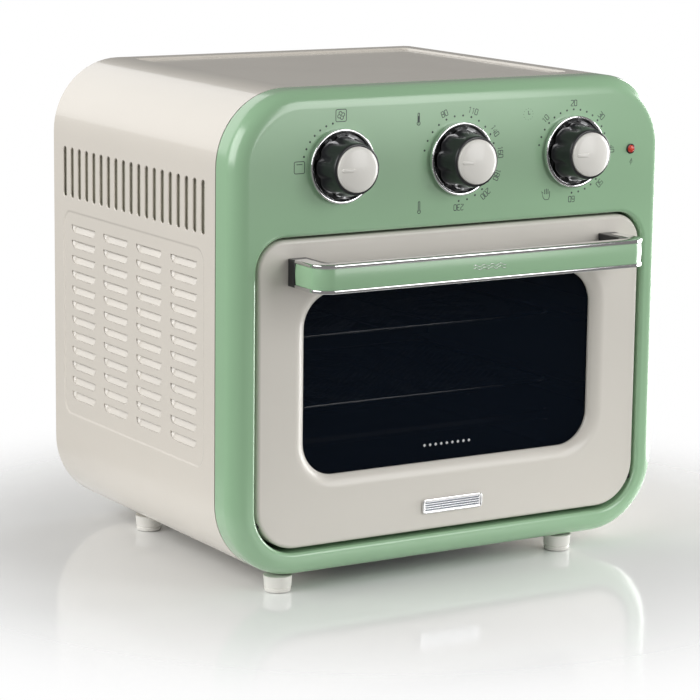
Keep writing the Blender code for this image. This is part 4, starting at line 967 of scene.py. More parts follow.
class OVEN_OT_door(bpy.types.Operator):
    """Cream door with its roll in to the window, and a small ornament on the glass."""

    bl_idname = "oven.door"
    bl_label = "Door"

    def execute(self, context):
        sizes = oven_sizes()
        front = DOOR_LOW.y
        bm = bmesh.new()
        rings = [upright(door_outline(0), DOOR_HIGH.y)]
        for step in range(7):
            a = radians(15 * step)
            inset = sizes.door_edge * (1 - cos(a))
            rings.append(upright(door_outline(inset), front + sizes.door_edge * (1 - sin(a))))
        rings.append(upright(door_outline(sizes.door_edge + FLAT_MARGIN), front))
        reach = sizes.window_roll * sin(radians(ROLL_END))
        rings.append(upright(window_outline(reach + FLAT_MARGIN), front))
        for step in range(9):
            a = radians(ROLL_END * step / 8)
            outset = reach - sizes.window_roll * sin(a)
            depth = front + sizes.window_roll * (1 - cos(a))
            rings.append(upright(window_outline(outset), depth))
        rings.append(upright(window_outline(0), GLASS_LOW.y - GAP))
        loft(bm, rings)
        piece("door_shell", bm, "door_cream", DOOR, ["door_frame"], DOOR_WALL, angle=25)
        self.ornament()
        return {"FINISHED"}

    def ornament(self):
        """A plain row of diamonds near the lower edge of the glass."""
        unit = bmesh.new()
        reach = DIAMOND_REACH
        foot = [(-reach, 0, 0), (0, -reach, 0), (reach, 0, 0), (0, reach, 0)]
        face = [(x * 0.8, y * 0.8, DIAMOND_RISE) for x, y, z in foot]
        loft(unit, [foot, face], cap_first=True, cap_last=True)
        grid = {"columns": DIAMONDS, "rows": 1, "column_pitch": DIAMOND_PITCH, "row_pitch": 0.0}
        mesh = copies(unit, GRID, "pale_ink", **grid)
        mesh.transform(Matrix.Rotation(pi / 2, 4, "X"))
        middle = (GLASS_LOW.x + GLASS_HIGH.x) / 2
        height = GLASS_LOW.z + DIAMONDS_ABOVE_GLASS_EDGE
        mesh.transform(Matrix.Translation((middle, GLASS_LOW.y - PRINT_SINK, height)))
        finished("glass_ornament", mesh, "pale_ink", DOOR)


# Handle

HANDLE_BEAD = 0.0023
HANDLE_FLANGE = 0.00035
HANDLE_FLANGE_STEP = 0.0001
HANDLE_CHANNEL_DEPTH = 0.0086
HANDLE_WEB = 0.0012
HANDLE_EDGE = 0.0007
INLAY_BACK = 0.0011
INLAY_CROWN = 0.0004
GRIP_SKIN = 0.0025
GRIP_THICKNESS = 0.011
GRIP_LEG = 0.0127
GRIP_INNER_CORNER = 0.006
GRIP_SOFT_EDGE = 0.0005
WAVE_HALF_RUN = 0.012
WAVE_STEPS = 48
WAVE_LENGTH = 0.006
WAVE_HEIGHT = 0.0007
WAVE_APART = 0.0009
WAVE_WIRE = 0.00022
WAVE_DEPTH = 0.0003


def handle_path(depth, end, steps=ARC_STEPS):
    """The grip's plan from its left end to its right, at a depth behind its face."""
    half = HANDLE_HIGH.x - depth
    front = HANDLE_LOW.y + depth
    radius = oven_sizes().handle_corner - depth
    right = [(half, end)] + arc((half - radius, front + radius), radius, 0, -90, steps)
    return [(-x, y) for x, y in right] + right[::-1]


def strip(bm, section, end):
    """A strip bent round the grip, from (depth, height) points in order round it."""
    middle = (HANDLE_LOW.z + HANDLE_HIGH.z) / 2
    columns = []
    for depth, height in section:
        columns.append([(x, y, middle + height) for x, y in handle_path(depth, end)])
    loft(bm, [list(ring) for ring in zip(*columns)], cap_first=True, cap_last=True)


def closed_round(points, radius, steps=4):
    """A closed outline with its corners rounded."""
    ring = [points[-1]] + list(points) + [points[0]]
    return rounded_profile(ring, radius, steps)[1:-1]


class OVEN_OT_handle(bpy.types.Operator):
    """Bright channel handle with its black core and green inlay."""

    bl_idname = "oven.handle"
    bl_label = "Handle"

    def execute(self, context):
        edge = (HANDLE_HIGH.z - HANDLE_LOW.z) / 2
        self.grip()
        self.channel(edge)
        self.inlay(edge - HANDLE_BEAD - HANDLE_FLANGE_STEP)
        self.ornament()
        return {"FINISHED"}

    def channel(self, edge):
        deep, bead, web = HANDLE_CHANNEL_DEPTH, HANDLE_BEAD, HANDLE_WEB
        flange = edge - HANDLE_FLANGE
        inner = flange - HANDLE_FLANGE_STEP
        upper = [(web, edge - bead), (0.0, edge - bead), (0.0, edge)]
        lower = [(deep, -flange), (deep, -edge), (0.0, -edge)]
        lower += [(0.0, -edge + bead), (web, -edge + bead)]
        section = [(deep, edge), (deep, flange), (bead, inner), (bead, -inner)] + lower + upper
        bm = bmesh.new()
        strip(bm, closed_round(section, HANDLE_EDGE), HANDLE_HIGH.y)
        piece("handle_channel", bm, "chrome", DOOR, ["handle_trim"], closed=True)

    def inlay(self, top):
        bm = bmesh.new()
        section = [(INLAY_BACK, top), (INLAY_BACK, -top)]
        for i in range(-6, 7):
            crown = INLAY_CROWN * cos(pi / 2 * i / 6)
            section.append((HANDLE_EDGE - crown, top * i / 6))
        strip(bm, section, HANDLE_HIGH.y - 0.0002)
        piece("handle_inlay", bm, "pastel_green", DOOR, ["handle_insert"], closed=True)

    def grip(self):
        """The black core of the grip, with its two end blocks."""
        low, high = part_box("handle_core")
        block = HANDLE_HIGH.y + GAP
        leg = high.x - GRIP_LEG
        corner = GRIP_INNER_CORNER
        inner_front = HANDLE_LOW.y + GRIP_THICKNESS + corner
        outer = [(-high.x, high.y), (-high.x, block)] + handle_path(GRIP_SKIN, block)
        outer += [(high.x, block), (high.x, high.y)]
        inner = [(leg, high.y)] + arc((leg - corner, inner_front), corner, 0, -90, 8)
        outline = outer + inner + [(-x, y) for x, y in reversed(inner)]
        bm = bmesh.new()
        rings = [[(x, y, z) for x, y in outline] for z in (low.z, high.z)]
        loft(bm, rings, cap_first=True, cap_last=True)
        obj = piece("handle_grip", bm, "black_plastic", DOOR, ["handle_core"], closed=True)
        bevel = obj.modifiers.new("soft edges", "BEVEL")
        bevel.width = GRIP_SOFT_EDGE
        bevel.segments = 2
        bevel.limit_method = "ANGLE"
        bevel.angle_limit = radians(40)

    def ornament(self):
        """A plain wavy rule in the middle of the inlay."""
        middle = (HANDLE_LOW.z + HANDLE_HIGH.z) / 2
        lines = []
        for shift in (-WAVE_APART, WAVE_APART):
            line = []
            for i in range(WAVE_STEPS + 1):
                x = -WAVE_HALF_RUN + 2 * WAVE_HALF_RUN * i / WAVE_STEPS
                rise = WAVE_HEIGHT * sin(2 * pi * x / WAVE_LENGTH)
                line.append((x, 0, middle + shift + rise))
            lines.append(line)
        mesh = wires("inlay_ornament", lines, WAVE_WIRE)
        flatten(mesh, HANDLE_LOW.y + WAVE_DEPTH)
        finished("inlay_ornament", mesh, "chrome", DOOR)


def flatten(mesh, y, share=0.2):
    """Presses a mesh made about Y = 0 flat, and stands it on the plane at y."""
    squeeze = Matrix.Diagonal((1, share, 1, 1))
    mesh.transform(Matrix.Translation((0, y, 0)) @ squeeze)


# Inset of the rim's outline, and its depth behind the badge's front
BADGE_RIM = (
    (0.0, 0.0004),
    (0.0001, 0.00015),
    (0.0004, 0.0),
    (0.0009, 0.0),
    (0.0012, 0.0002),
    (0.0013, 0.0006),
)
BADGE_CORNER = 0.0022
RIB_INSET = 0.0024
RIB_HALF_HEIGHT = 0.00042
RIB_CORNER = 0.0004
RIB_RISE = 0.00022
RIB_CROWN = 0.00036
RIB_PITCH = 0.0015
RIB_COUNT = 4
RIB_DEPTH = 0.00055


class OVEN_OT_badge(bpy.types.Operator):
    """Blank badge on the door: a bright rim round a ribbed dark field."""

    bl_idname = "oven.badge"
    bl_label = "Badge"

    def execute(self, context):
        low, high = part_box("badge_plate")
        middle = (0, (low.z + high.z) / 2)
        half_width, half_height = (high.x - low.x) / 2, (high.z - low.z) / 2
        corner = BADGE_CORNER
        rings = [upright(rounded_about(middle, half_width, half_height, corner, steps=8), high.y)]
        for inset, depth in BADGE_RIM:
            width, height = half_width - inset, half_height - inset
            outline = rounded_about(middle, width, height, corner - inset, steps=8)
            rings.append(upright(outline, low.y + depth))
        bm = bmesh.new()
        loft(bm, rings, cap_first=True, cap_last=True)
        piece("badge_rim", bm, "chrome", DOOR, ["badge_plate"], closed=True)
        rib = bmesh.new()
        shape = rounded_about((0, 0), half_width - RIB_INSET, RIB_HALF_HEIGHT, RIB_CORNER, steps=4)
        rings = [[(u, v, w) for u, v in shape] for w in (0, RIB_RISE)]
        rings.append([(u * 0.995, v * 0.5, RIB_CROWN) for u, v in shape])
        loft(rib, rings, cap_first=True, cap_last=True)
        grid = {"columns": 1, "rows": RIB_COUNT, "column_pitch": 0.0, "row_pitch": RIB_PITCH}
        mesh = copies(rib, GRID, "badge_enamel", **grid)
        onto = Matrix.Translation((middle[0], low.y + RIB_DEPTH, middle[1]))
        mesh.transform(onto @ Matrix.Rotation(pi / 2, 4, "X"))
        finished("badge_ribs", mesh, "badge_enamel", DOOR)
        return {"FINISHED"}


# Dials

SKIRT_STEPS = 160
NOTCHES = 8
NOTCH_DEPTH = 0.0015
SHAFT_BORE = 0.0034
SHAFT_REACH = 0.005
# Share of the skirt's radius, share of the notch's depth, distance before its back
SKIRT_SIDE = (
    (0.985, 1.0, 0.003),
    (0.955, 1.0, 0.006),
    (0.925, 0.8, 0.009),
    (0.895, 0.35, 0.012),
    (0.865, 0.0, 0.0145),
)
SKIRT_NECK_SHARE = 0.85
CAP_EDGE = 0.0031
CAP_EDGE_DROP = 1.15
CAP_SINK = 0.0003
# Radius and height of the cap's rounded edge
CAP_SIDE = ((1.0, 0.0018), (0.99, 0.0023), (0.965, 0.0026), (0.93, 0.0028))
CAP_SHARES = (0.88, 0.8, 0.7, 0.6, 0.5, 0.4, 0.3, 0.2, 0.1, 0.0)
POINTER_SPAN = (0.28, 0.84)
POINTER_HALF_WIDTH = 0.0009
# How far the pointer's outline is set out, and its rise over the cap
POINTER_RINGS = ((0.00035, -0.001), (0.0003, 0.0), (0.0001, 0.0005), (-0.0003, 0.0007))


class OVEN_OT_dials(bpy.types.Operator):
    """Bright dishes, black scalloped skirts and cream caps of the three dials."""

    bl_idname = "oven.dials"
    bl_label = "Dials"

    def execute(self, context):
        for dial in DIALS:
            self.dish(dial)
            self.skirt(dial)
            self.cap(dial)
        return {"FINISHED"}

    def dish(self, dial):
        low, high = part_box(dial + "_bezel")
        radius = (high.x - low.x) / 2
        at = Vector(((low.x + high.x) / 2, high.y + GAP, (low.z + high.z) / 2))
        rim = high.y - low.y + GAP
        shape = [
            (radius * 0.265, GAP),
            (radius, GAP),
            (radius, rim),
            (radius - 0.0016, rim),
            (radius - 0.0024, 0.0022),
            (radius - 0.0046, 0.0014),
            (radius * 0.265, 0.0012),
        ]
        profile = closed_round(shape, 0.0007, 5)
        bm = bmesh.new()
        revolve(bm, profile + [profile[0]], at, 96)
        name = dial + "_dish"
        piece(name, bm, "chrome", BODY, [dial + "_bezel"], closed=True, angle=50)

    def skirt(self, dial):
        low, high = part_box(dial + "_knob")
        radius = (high.x - low.x) / 2
        middle = (low + high) / 2
        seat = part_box(dial + "_knob_cap")[1].y
        cap_radius = size_of(dial + "_knob_cap").x / 2
        front, back = low.y, high.y
        neck = radius * SKIRT_NECK_SHARE
        notch = NOTCH_DEPTH
        levels = [
            (SHAFT_BORE, 0, front + SHAFT_REACH),
            (SHAFT_BORE, 0, back),
            (radius - 0.0006, notch, back),
            (radius, notch, back - 0.0006),
        ]
        for share, notch_share, before in SKIRT_SIDE:
            levels.append((radius * share, notch * notch_share, back - before))
        levels += [
            (neck, 0, front + 0.0008),
            (neck - 0.0002, 0, front + 0.0003),
            (neck - 0.0007, 0, front),
            (cap_radius + GAP + 0.0003, 0, front),
            (cap_radius + GAP, 0, front + 0.0003),
            (cap_radius + GAP, 0, seat),
        ]
        rings = []
        for r, depth, y in levels:
            ring = []
            for a in circle(SKIRT_STEPS):
                reach = r - depth * (0.5 - 0.5 * cos(NOTCHES * a)) ** 3
                ring.append((middle.x + reach * cos(a), y, middle.z + reach * sin(a)))
            rings.append(ring)
        bm = bmesh.new()
        loft(bm, rings, cap_first=True, cap_last=True)
        name = dial + "_skirt"
        replaced = [dial + "_knob"]
        piece(name, bm, "black_plastic", dial + "_dial", replaced, closed=True, angle=40)

    def cap(self, dial):
        low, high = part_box(dial + "_knob_cap")
        radius = (high.x - low.x) / 2
        at = Vector(((low.x + high.x) / 2, high.y, (low.z + high.z) / 2))
        top = high.y - low.y - CAP_SINK

        def height_at(share):
            return top - (top - CAP_EDGE) * share**2 * CAP_EDGE_DROP

        profile = [(0, 0), (radius, 0)] + [(radius * share, rise) for share, rise in CAP_SIDE]
        profile += [(radius * share, height_at(share)) for share in CAP_SHARES]
        bm = bmesh.new()
        revolve(bm, profile, at, 72)
        rings = []
        start, end = (radius * share for share in POINTER_SPAN)
        for outset, rise in POINTER_RINGS:
            half_length, half_width = (end - start) / 2 + outset, POINTER_HALF_WIDTH + outset
            centre = (-(start + end) / 2, 0)
            ring = []
            for u, v in rounded_about(centre, half_length, half_width, half_width - 1e-5, 6):
                height = min(height_at(hypot(u, v) / radius) + rise, top + CAP_SINK)
                ring.append((at.x + u, at.y - height, at.z + v))
            rings.append(ring)
        loft(bm, rings, cap_first=True, cap_last=True)
        name, replaced = dial + "_cap", [dial + "_knob_cap"]
        piece(name, bm, "cap_cream", dial + "_dial", replaced, closed=True, angle=40)


# Printed marks

# Strokes of each figure, on a cell one wide and one high
OVAL = [(0, 0.1), (0, 0.9), (0.15, 1), (0.85, 1), (1, 0.9), (1, 0.1), (0.85, 0), (0.15, 0)]
OVAL.append(OVAL[0])
LOWER_BOWL = [(0, 0.1), (0.15, 0), (0.85, 0), (1, 0.1), (1, 0.45), (0.85, 0.55), (0, 0.55)]
FIGURES = {
    "0": [OVAL],
    "1": [[(0.2, 0.8), (0.6, 1), (0.6, 0)]],
    "2": [[(0, 0.9), (0.15, 1), (0.85, 1), (1, 0.9), (1, 0.6), (0, 0.15), (0, 0), (1, 0)]],
    "3": [[(0, 1), (0.85, 1), (1, 0.9), (1, 0.1), (0.85, 0), (0, 0)], [(0.3, 0.52), (1, 0.52)]],
    "4": [[(0.8, 0), (0.8, 1), (0, 0.3), (1, 0.3)]],
    "5": [[(1, 1), (0, 1), (0, 0.55), (0.85, 0.55), (1, 0.45), (1, 0.1), (0.85, 0), (0, 0)]],
    "6": [[(1, 1), (0.15, 1), (0, 0.9)] + LOWER_BOWL],
    "8": [OVAL, [(0, 0.52), (1, 0.52)]],
}
FIGURE_ASPECT = 0.52
FIGURE_GAP = 0.36


def figure_strokes(text, height):
    """Strokes of a number about the middle of its foot."""
    width = height * FIGURE_ASPECT
    pitch = width * (1 + FIGURE_GAP)
    start = -(len(text) * pitch - width * FIGURE_GAP) / 2
    strokes = []
    for i, character in enumerate(text):
        for stroke in FIGURES[character]:
            strokes.append([(start + i * pitch + x * width, y * height) for x, y in stroke])
    return strokes


def on_clock(strokes, centre, clock, radius):
    """Strokes turned and moved to a clock angle, with their tops outward."""
    a = radians(clock)
    made = []
    for stroke in strokes:
        points = []
        for x, y in stroke:
            r = radius + y
            across, up = r * sin(a) + x * cos(a), r * cos(a) - x * sin(a)
            points.append((centre.x + across, 0, centre.z + up))
        made.append(points)
    return made


def shifted(strokes, centre, dx, dz):
    return [[(centre.x + dx + x, 0, centre.z + dz + y) for x, y in stroke] for stroke in strokes]


def square_icon(size):
    outline = rounded_about((0, 0), size / 2, size / 2, size * 0.14, steps=4)
    return outline + outline[:1]


def fan_icon(size):
    strokes = [square_icon(size), arc((0, 0), size * 0.07, 0, 360, 8)]
    for turn in range(4):
        a = radians(90 * turn + 20)
        tip = (size * 0.2 * cos(a), size * 0.2 * sin(a))
        strokes.append(arc(tip, size * 0.14, 90 * turn - 100, 90 * turn + 150, 10))
    return strokes


def stove_icon(size):
    bar = [(-size * 0.28, size * 0.26), (size * 0.28, size * 0.26)]
    return [square_icon(size), bar]


def thermometer_icon(height, level):
    bulb = 0.0011
    stem = 0.00055
    foot = bulb + 0.0009
    tube = [(-stem, foot), (-stem, height - stem)]
    tube += arc((0, height - stem), stem, 180, 0, 6) + [(stem, foot)]
    return [arc((0, bulb), bulb, 120, 420, 14), tube, [(0, bulb), (0, bulb + level)]]


def clock_icon(radius):
    strokes = [[(0, radius * 0.55), (0, 0), (radius * 0.4, 0)]]
    for i in range(12):
        a = radians(30 * i)
        strokes.append([(radius * k * cos(a), radius * k * sin(a)) for k in (0.93, 1.0)])
    return strokes


def hand_icon(size):
    palm = [(-0.32, 0.1), (-0.5, 0.28), (-0.3, -0.3), (-0.12, -0.5)]
    palm += [(0.28, -0.5), (0.38, -0.25), (0.4, 0.25)]
    fingers = [[(x, 0), (x, tip)] for x, tip in ((-0.14, 0.44), (0.04, 0.5), (0.22, 0.46))]
    return [[(x * size, y * size) for x, y in stroke] for stroke in [palm] + fingers]


def bolt_icon(height):
    half = [(0.12, 0.5), (-0.28, -0.06), (-0.02, -0.06)]
    shape = half + [(-0.14, -0.5), (0.28, 0.1), (0.02, 0.1), half[0]]
    return [[(x * height, y * height) for x, y in shape]]


# Each dial's first clock angle, step and number of dots
DOTS = {
    "function": (-12.5, -10.42, 7),
    "temperature": (-76.5, 13.5, 20),
    "timer": (-78.75, 11.25, 24),
}
DOT_CIRCLE = 0.0266
DOT_RADIUS = 0.00068
DOT_TOP_RADIUS = 0.00060
DOT_RISE = 0.00005
# Clock angle of each number
NUMBERS = {
    "function": {},
    "temperature": {80: -22.5, 110: 18, 140: 58.5, 160: 85.5, 180: 112.5, 200: 139.5, 230: 180},
    "timer": {10: -45, 20: 0, 30: 45, 40: 90, 50: 135, 60: 180},
}
NUMBER_CIRCLE = 0.0288
STROKE_RADIUS = 0.00027
# Each dial's small signs, and where they stand from its middle
SIGNS = {
    "function": ((fan_icon(0.0074), 0, 0.0306), (stove_icon(0.0072), -0.0288, 0.0005)),
    "temperature": (
        (thermometer_icon(0.0074, 0.0045), -0.0305, 0.0221),
        (thermometer_icon(0.0074, 0.0008), -0.0292, -0.0326),
    ),
    "timer": ((clock_icon(0.0037), -0.0349, 0.0251), (hand_icon(0.0070), -0.0199, -0.0263)),
}
LAMP_SIGN = (bolt_icon(0.0042), 0.0008, -0.0085)


class OVEN_OT_marks(bpy.types.Operator):
    """Printed dots, numbers and small signs round the dials."""

    bl_idname = "oven.marks"
    bl_label = "Printed marks"

    def execute(self, context):
        height = oven_sizes().digit_height
        for dial in DIALS:
            centre = centre_of(dial + "_shaft")
            strokes = []
            for sign in SIGNS[dial]:
                strokes += shifted(sign[0], centre, *sign[1:])
            for number, clock in NUMBERS[dial].items():
                figures = figure_strokes(str(number), height)
                strokes += on_clock(figures, centre, clock, NUMBER_CIRCLE)
            self.printed(dial + "_print", strokes)
            self.dots(dial, centre)
        self.printed("lamp_sign", shifted(LAMP_SIGN[0], centre_of("pilot_lens"), *LAMP_SIGN[1:]))
        return {"FINISHED"}

    def printed(self, name, strokes):
        mesh = wires(name, strokes, STROKE_RADIUS)
        flatten(mesh, FASCIA_FRONT)
        finished(name, mesh, "ink", BODY)

    def dots(self, dial, centre):
        """The ring of dots that a dial's pointer turns past."""
        unit = bmesh.new()
        rings = []
        for r, w in ((DOT_RADIUS, 0), (DOT_TOP_RADIUS, DOT_RISE)):
            rings.append([(r * cos(a), r * sin(a), w) for a in circle(12)])
        loft(unit, rings, cap_first=True, cap_last=True)
        first, step, number = DOTS[dial]
        run = {"count": number, "first_angle": radians(first), "angle_step": radians(step)}
        mesh = copies(unit, CLOCK_ARC, "ink", radius=DOT_CIRCLE, **run)
        mesh.transform(Matrix.Rotation(pi / 2, 4, "X"))
        mesh.transform(Matrix.Translation((centre.x, FASCIA_FRONT, centre.z)))
        finished(dial + "_dots", mesh, "ink", BODY)


LAMP_NECK_INSET = 0.0009
LAMP_LENS_INSET = 0.0008
LAMP_SHOULDER = 0.0003
LAMP_DOME_FOOT = 0.0008
LAMP_DOME_RISE = 0.0010
LAMP_RING_WIDTH = 0.0007


class OVEN_OT_lamp(bpy.types.Operator):
    """Red pilot lamp in its dark ring."""

    bl_idname = "oven.lamp"
    bl_label = "Pilot lamp"

    def execute(self, context):
        low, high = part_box("pilot_lens")
        radius = (high.x - low.x) / 2
        at = Vector(((low.x + high.x) / 2, FASCIA_FRONT, (low.z + high.z) / 2))
        stem = FASCIA_FRONT - high.y
        bm = bmesh.new()
        neck, lens_radius = radius - LAMP_NECK_INSET, radius - LAMP_LENS_INSET
        profile = [(0, stem), (neck, stem), (neck, LAMP_SHOULDER)]
        profile += [(lens_radius, LAMP_SHOULDER), (lens_radius, LAMP_DOME_FOOT)]
        for share in (0.85, 0.68, 0.5, 0.32, 0.15, 0.0):
            rise = LAMP_DOME_FOOT + LAMP_DOME_RISE * sqrt(1 - share**2)
            profile.append((lens_radius * share, rise))
        revolve(bm, profile, at, 14)
        piece("lamp_lens", bm, "red_lens", BODY, ["pilot_lens"], closed=True, angle=12)
        ring = bmesh.new()
        inner = radius - LAMP_RING_WIDTH
        shape = [(inner, 0.0002), (radius, 0.0002), (radius - 0.0001, 0.0008), (inner, 0.0010)]
        profile = closed_round(shape, 0.0002, 3)
        revolve(ring, profile + [profile[0]], at, 32)
        piece("lamp_ring", ring, "black_plastic", BODY, closed=True)
        return {"FINISHED"}


# Inside, rear and base

RACK_CORNER = 0.012
MESH_WIRE = 0.00035
MESH_DROP = 0.0004
RACK_BAR_RADIUS = 0.0009
RACK_BAR_SHARES = (-0.6, -0.2, 0.2, 0.6)


class OVEN_OT_racks(bpy.types.Operator):
    """Two wire racks with a fine crossed mesh."""

    bl_idname = "oven.racks"
    bl_label = "Racks"

    def execute(self, context):
        for name in ("upper", "lower"):
            low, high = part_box(name + "_rack")
            radius = (high.z - low.z) / 2
            level = (low.z + high.z) / 2
            middle = ((low.x + high.x) / 2, (low.y + high.y) / 2)
            half_width = (high.x - low.x) / 2 - radius
            half_depth = (high.y - low.y) / 2 - radius
            outline = rounded_about(middle, half_width, half_depth, RACK_CORNER, steps=8)
            rim = [(x, y, level) for x, y in outline]
            lines = [rim + rim[:2]]
            mesh = wires(name + "_rack_rim", lines, radius, 3)
            shelf, rack = name + "_shelf", name + "_rack"
            finished(name + "_rack_rim", mesh, "chrome", shelf, [rack], angle=60)
            self.mesh_floor(name, middle, half_width, half_depth, level)
        return {"FINISHED"}

    def mesh_floor(self, name, middle, half_width, half_depth, level):
        """A diamond mesh across the rim, held by stouter bars."""
        pitch = oven_sizes().mesh_pitch
        columns = int(2 * half_width / pitch)
        rows = int(2 * half_depth / pitch)
        unit = bmesh.new()
        across, along = half_width / columns, half_depth / rows
        thick = MESH_WIRE
        for sign in (-1, 1):
            direction = Vector((across, sign * along, 0)).normalized() * thick
            aside = Vector((-direction.y, direction.x, 0))
            up = Vector((0, 0, thick))
            rings = []
            for end in (-1, 1):
                at = Vector((end * across, end * sign * along, 0))
                rings.append([tuple(at + aside), tuple(at + up), tuple(at - aside), tuple(at - up)])
            loft(unit, rings)
        mesh = copies(
            unit,
            GRID,
            "chrome",
            columns=columns,
            rows=rows,
            column_pitch=2 * across,
            row_pitch=2 * along,
        )
        mesh.transform(Matrix.Translation((middle[0], middle[1], level - MESH_DROP)))
        finished(name + "_rack_mesh", mesh, "chrome", name + "_shelf", angle=60)
        bars = []
        for share in RACK_BAR_SHARES:
            x = middle[0] + share * half_width
            bars.append([(x, middle[1] + end * half_depth, level) for end in (-1, 1)])
        mesh = wires(name + "_rack_bars", bars, RACK_BAR_RADIUS, 2)
        finished(name + "_rack_bars", mesh, "chrome", name + "_shelf", angle=60)


# Hinge parts and the door's inner panel, painted near-black as painted shade so that the gap round
# the door stays dark
SHADE_DARKENED_PARTS = (
    "hinge_bracket_left",
    "hinge_bracket_right",
    "hinge_pin_left",
    "hinge_pin_right",
    "door_inner_panel",
)
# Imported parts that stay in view, by finish
KEPT = {
    # The liner, front frame and crumb tray are near-black: partly a dark coat, partly painted shade
    # of the cavity
    "liner_steel": (
        "liner_left",
        "liner_right",
        "liner_top",
        "liner_floor",
        "liner_back",
        "front_frame",
        "crumb_tray",
    ),
    "plated_steel": (
        "base_plate",
        "rack_guide_left",
        "rack_guide_right",
        "fan_guard",
        "motor_bridge",
        "motor_body",
        "thermal_cutout",
        "thermostat_bulb",
        "temperature_thermostat",
        "timer_unit",
        "fan_blade",
        "cooling_fan",
        "fan_shaft",
        "function_shaft",
        "temperature_shaft",
        "timer_shaft",
    ),
    "heater_sheath": ("heater_top", "heater_lower_front", "heater_lower_rear"),
    "black_plastic": ("pilot_holder",),
    "white_ceramic": ("terminal_block", "function_switch"),
    "dark_glass": ("door_glass",),
}


class OVEN_OT_inside(bpy.types.Operator):
    """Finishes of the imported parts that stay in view."""

    bl_idname = "oven.inside"
    bl_label = "Inside"

    def execute(self, context):
        for slot, nodes in KEPT.items():
            repaint(slot, nodes)
        # Hinge parts and the door's inner panel get painted shade: near-black so the gap round the
        # door stays dark
        repaint("plated_steel", SHADE_DARKENED_PARTS, "blackened_steel")
        return {"FINISHED"}


GLAND_HOLE = 0.0073
REAR_SLOTS = 9
REAR_SLOT_PITCH = 0.011
REAR_SLOTS_ABOVE_MIDDLE = 0.0324
REAR_SLOT_SIDE = 0.055
REAR_SLOT_HALF = (0.035, 0.0024)
REAR_SLOT_CORNER = 0.0023
# Radius and rise of each step of a screw's head
SCREW_HEAD = (
    (0.0030, 0),
    (0.0030, 0.0006),
    (0.0026, 0.0012),
    (0.0018, 0.0016),
    (0.0008, 0.0017),
)
CROSS_REACH = (0.0011, 0.00035)
CROSS_RISE = 0.0009
SCREW_INSET = 0.012
SCREW_ROW_PITCH = 0.19
SLEEVE_NECK = 0.007
SLEEVE_LIP = 0.0018
LEAD_BORE = 0.0042


class OVEN_OT_rear(bpy.types.Operator):
    """Rear cover with its slots and screws, and the lead's sleeve."""

    bl_idname = "oven.rear"
    bl_label = "Rear"

    def execute(self, context):
        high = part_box("rear_cover")[1]
        inset = BODY_HALF - high.x
        bm = bmesh.new()
        edge = [(x, high.y, z) for x, z in body_outline(inset)]
        gland = centre_of("cord_gland")
        holes = [ring_about(gland, GLAND_HOLE, high.y, 32)]
        for side in (-1, 1):
            for i in range(REAR_SLOTS):
                z = BODY_MIDDLE + REAR_SLOTS_ABOVE_MIDDLE + REAR_SLOT_PITCH * i
                at = (side * REAR_SLOT_SIDE, z)
                outline = rounded_about(at, *REAR_SLOT_HALF, REAR_SLOT_CORNER, steps=5)
                holes.append(upright(outline, high.y))
        fill(bm, [edge] + holes, flip=True)
        piece("rear_panel", bm, "cream_enamel", BODY, ["rear_cover"], SHEET, angle=20)
        self.screws(high.y)
        self.sleeve(gland)
        return {"FINISHED"}

    def screws(self, y):
        """Low domed screws near the corners of the cover, each with a cross recess."""
        unit = bmesh.new()
        rings = []
        for r, w in SCREW_HEAD:
            rings.append([(r * cos(a), r * sin(a), w) for a in circle(24)])
        cross = []
        for i, a in enumerate(circle(24)):
            reach = CROSS_REACH[0] if i % 6 == 0 else CROSS_REACH[1]
            cross.append((reach * cos(a), reach * sin(a), CROSS_RISE))
        rings.append(cross)
        loft(unit, rings, cap_first=True, cap_last=True)
        across, up = 2 * (BODY_HALF - SCREW_INSET), SCREW_ROW_PITCH
        grid = {"columns": 2, "rows": 2, "column_pitch": across, "row_pitch": up}
        mesh = copies(unit, GRID, "plated_steel", **grid)
        onto = Matrix.Translation((0, y, BODY_MIDDLE)) @ Matrix.Rotation(-pi / 2, 4, "X")
        mesh.transform(onto)
        finished("rear_screws", mesh, "plated_steel", BODY)

    def sleeve(self, centre):
        low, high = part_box("cord_gland")
        at = Vector((centre.x, WRAP_HIGH.y, centre.z))
        out = high.y - WRAP_HIGH.y
        radius = (high.x - low.x) / 2
        back = low.y - WRAP_HIGH.y
        shape = [
            (radius * 0.8, out),
            (radius, out - SLEEVE_LIP),
            (radius, 0.0),
            (SLEEVE_NECK, 0.0),
            (SLEEVE_NECK, -SLEEVE_LIP),
            (radius - 0.001, -SLEEVE_LIP),
            (radius - 0.001, back),
            (LEAD_BORE, back),
            (LEAD_BORE, out),
        ]
        profile = closed_round(shape, 0.0004, 3)
        bm = bmesh.new()
        revolve(bm, profile + [profile[0]], at, 48, axis="rear")
        piece("lead_sleeve", bm, "black_plastic", BODY, ["cord_gland"], closed=True)


# A foot's side under its shoulder: how far outside its base circle, and its height
FOOT_SIDE = (
    (0.0002, 0.0034),
    (-0.0003, 0.0030),
    (-0.0003, 0.0026),
    (0.0001, 0.0022),
    (0.0, 0.0008),
    (-0.0003, 0.0003),
    (-0.001, 0),
)
FOOT_BASE_SHARE = 0.92


class OVEN_OT_feet(bpy.types.Operator):
    """Four moulded feet, each with a groove near the floor."""

    bl_idname = "oven.feet"
    bl_label = "Feet"

    def execute(self, context):
        for name in ("front_left", "front_right", "rear_left", "rear_right"):
            low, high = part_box("foot_" + name)
            radius = (high.x - low.x) / 2
            at = Vector(((low.x + high.x) / 2, (low.y + high.y) / 2, 0))
            base = radius * FOOT_BASE_SHARE
            profile = [(0, high.z), (radius, high.z), (radius - 0.0001, high.z - 0.001)]
            profile += [(base + outset, height) for outset, height in FOOT_SIDE] + [(0, 0)]
            bm = bmesh.new()
            revolve(bm, profile, at, 48, axis="up")
            replaced = ["foot_" + name]
            piece("foot_" + name + "_moulding", bm, "foot_cream", BODY, replaced, closed=True)
        return {"FINISHED"}


# Stage

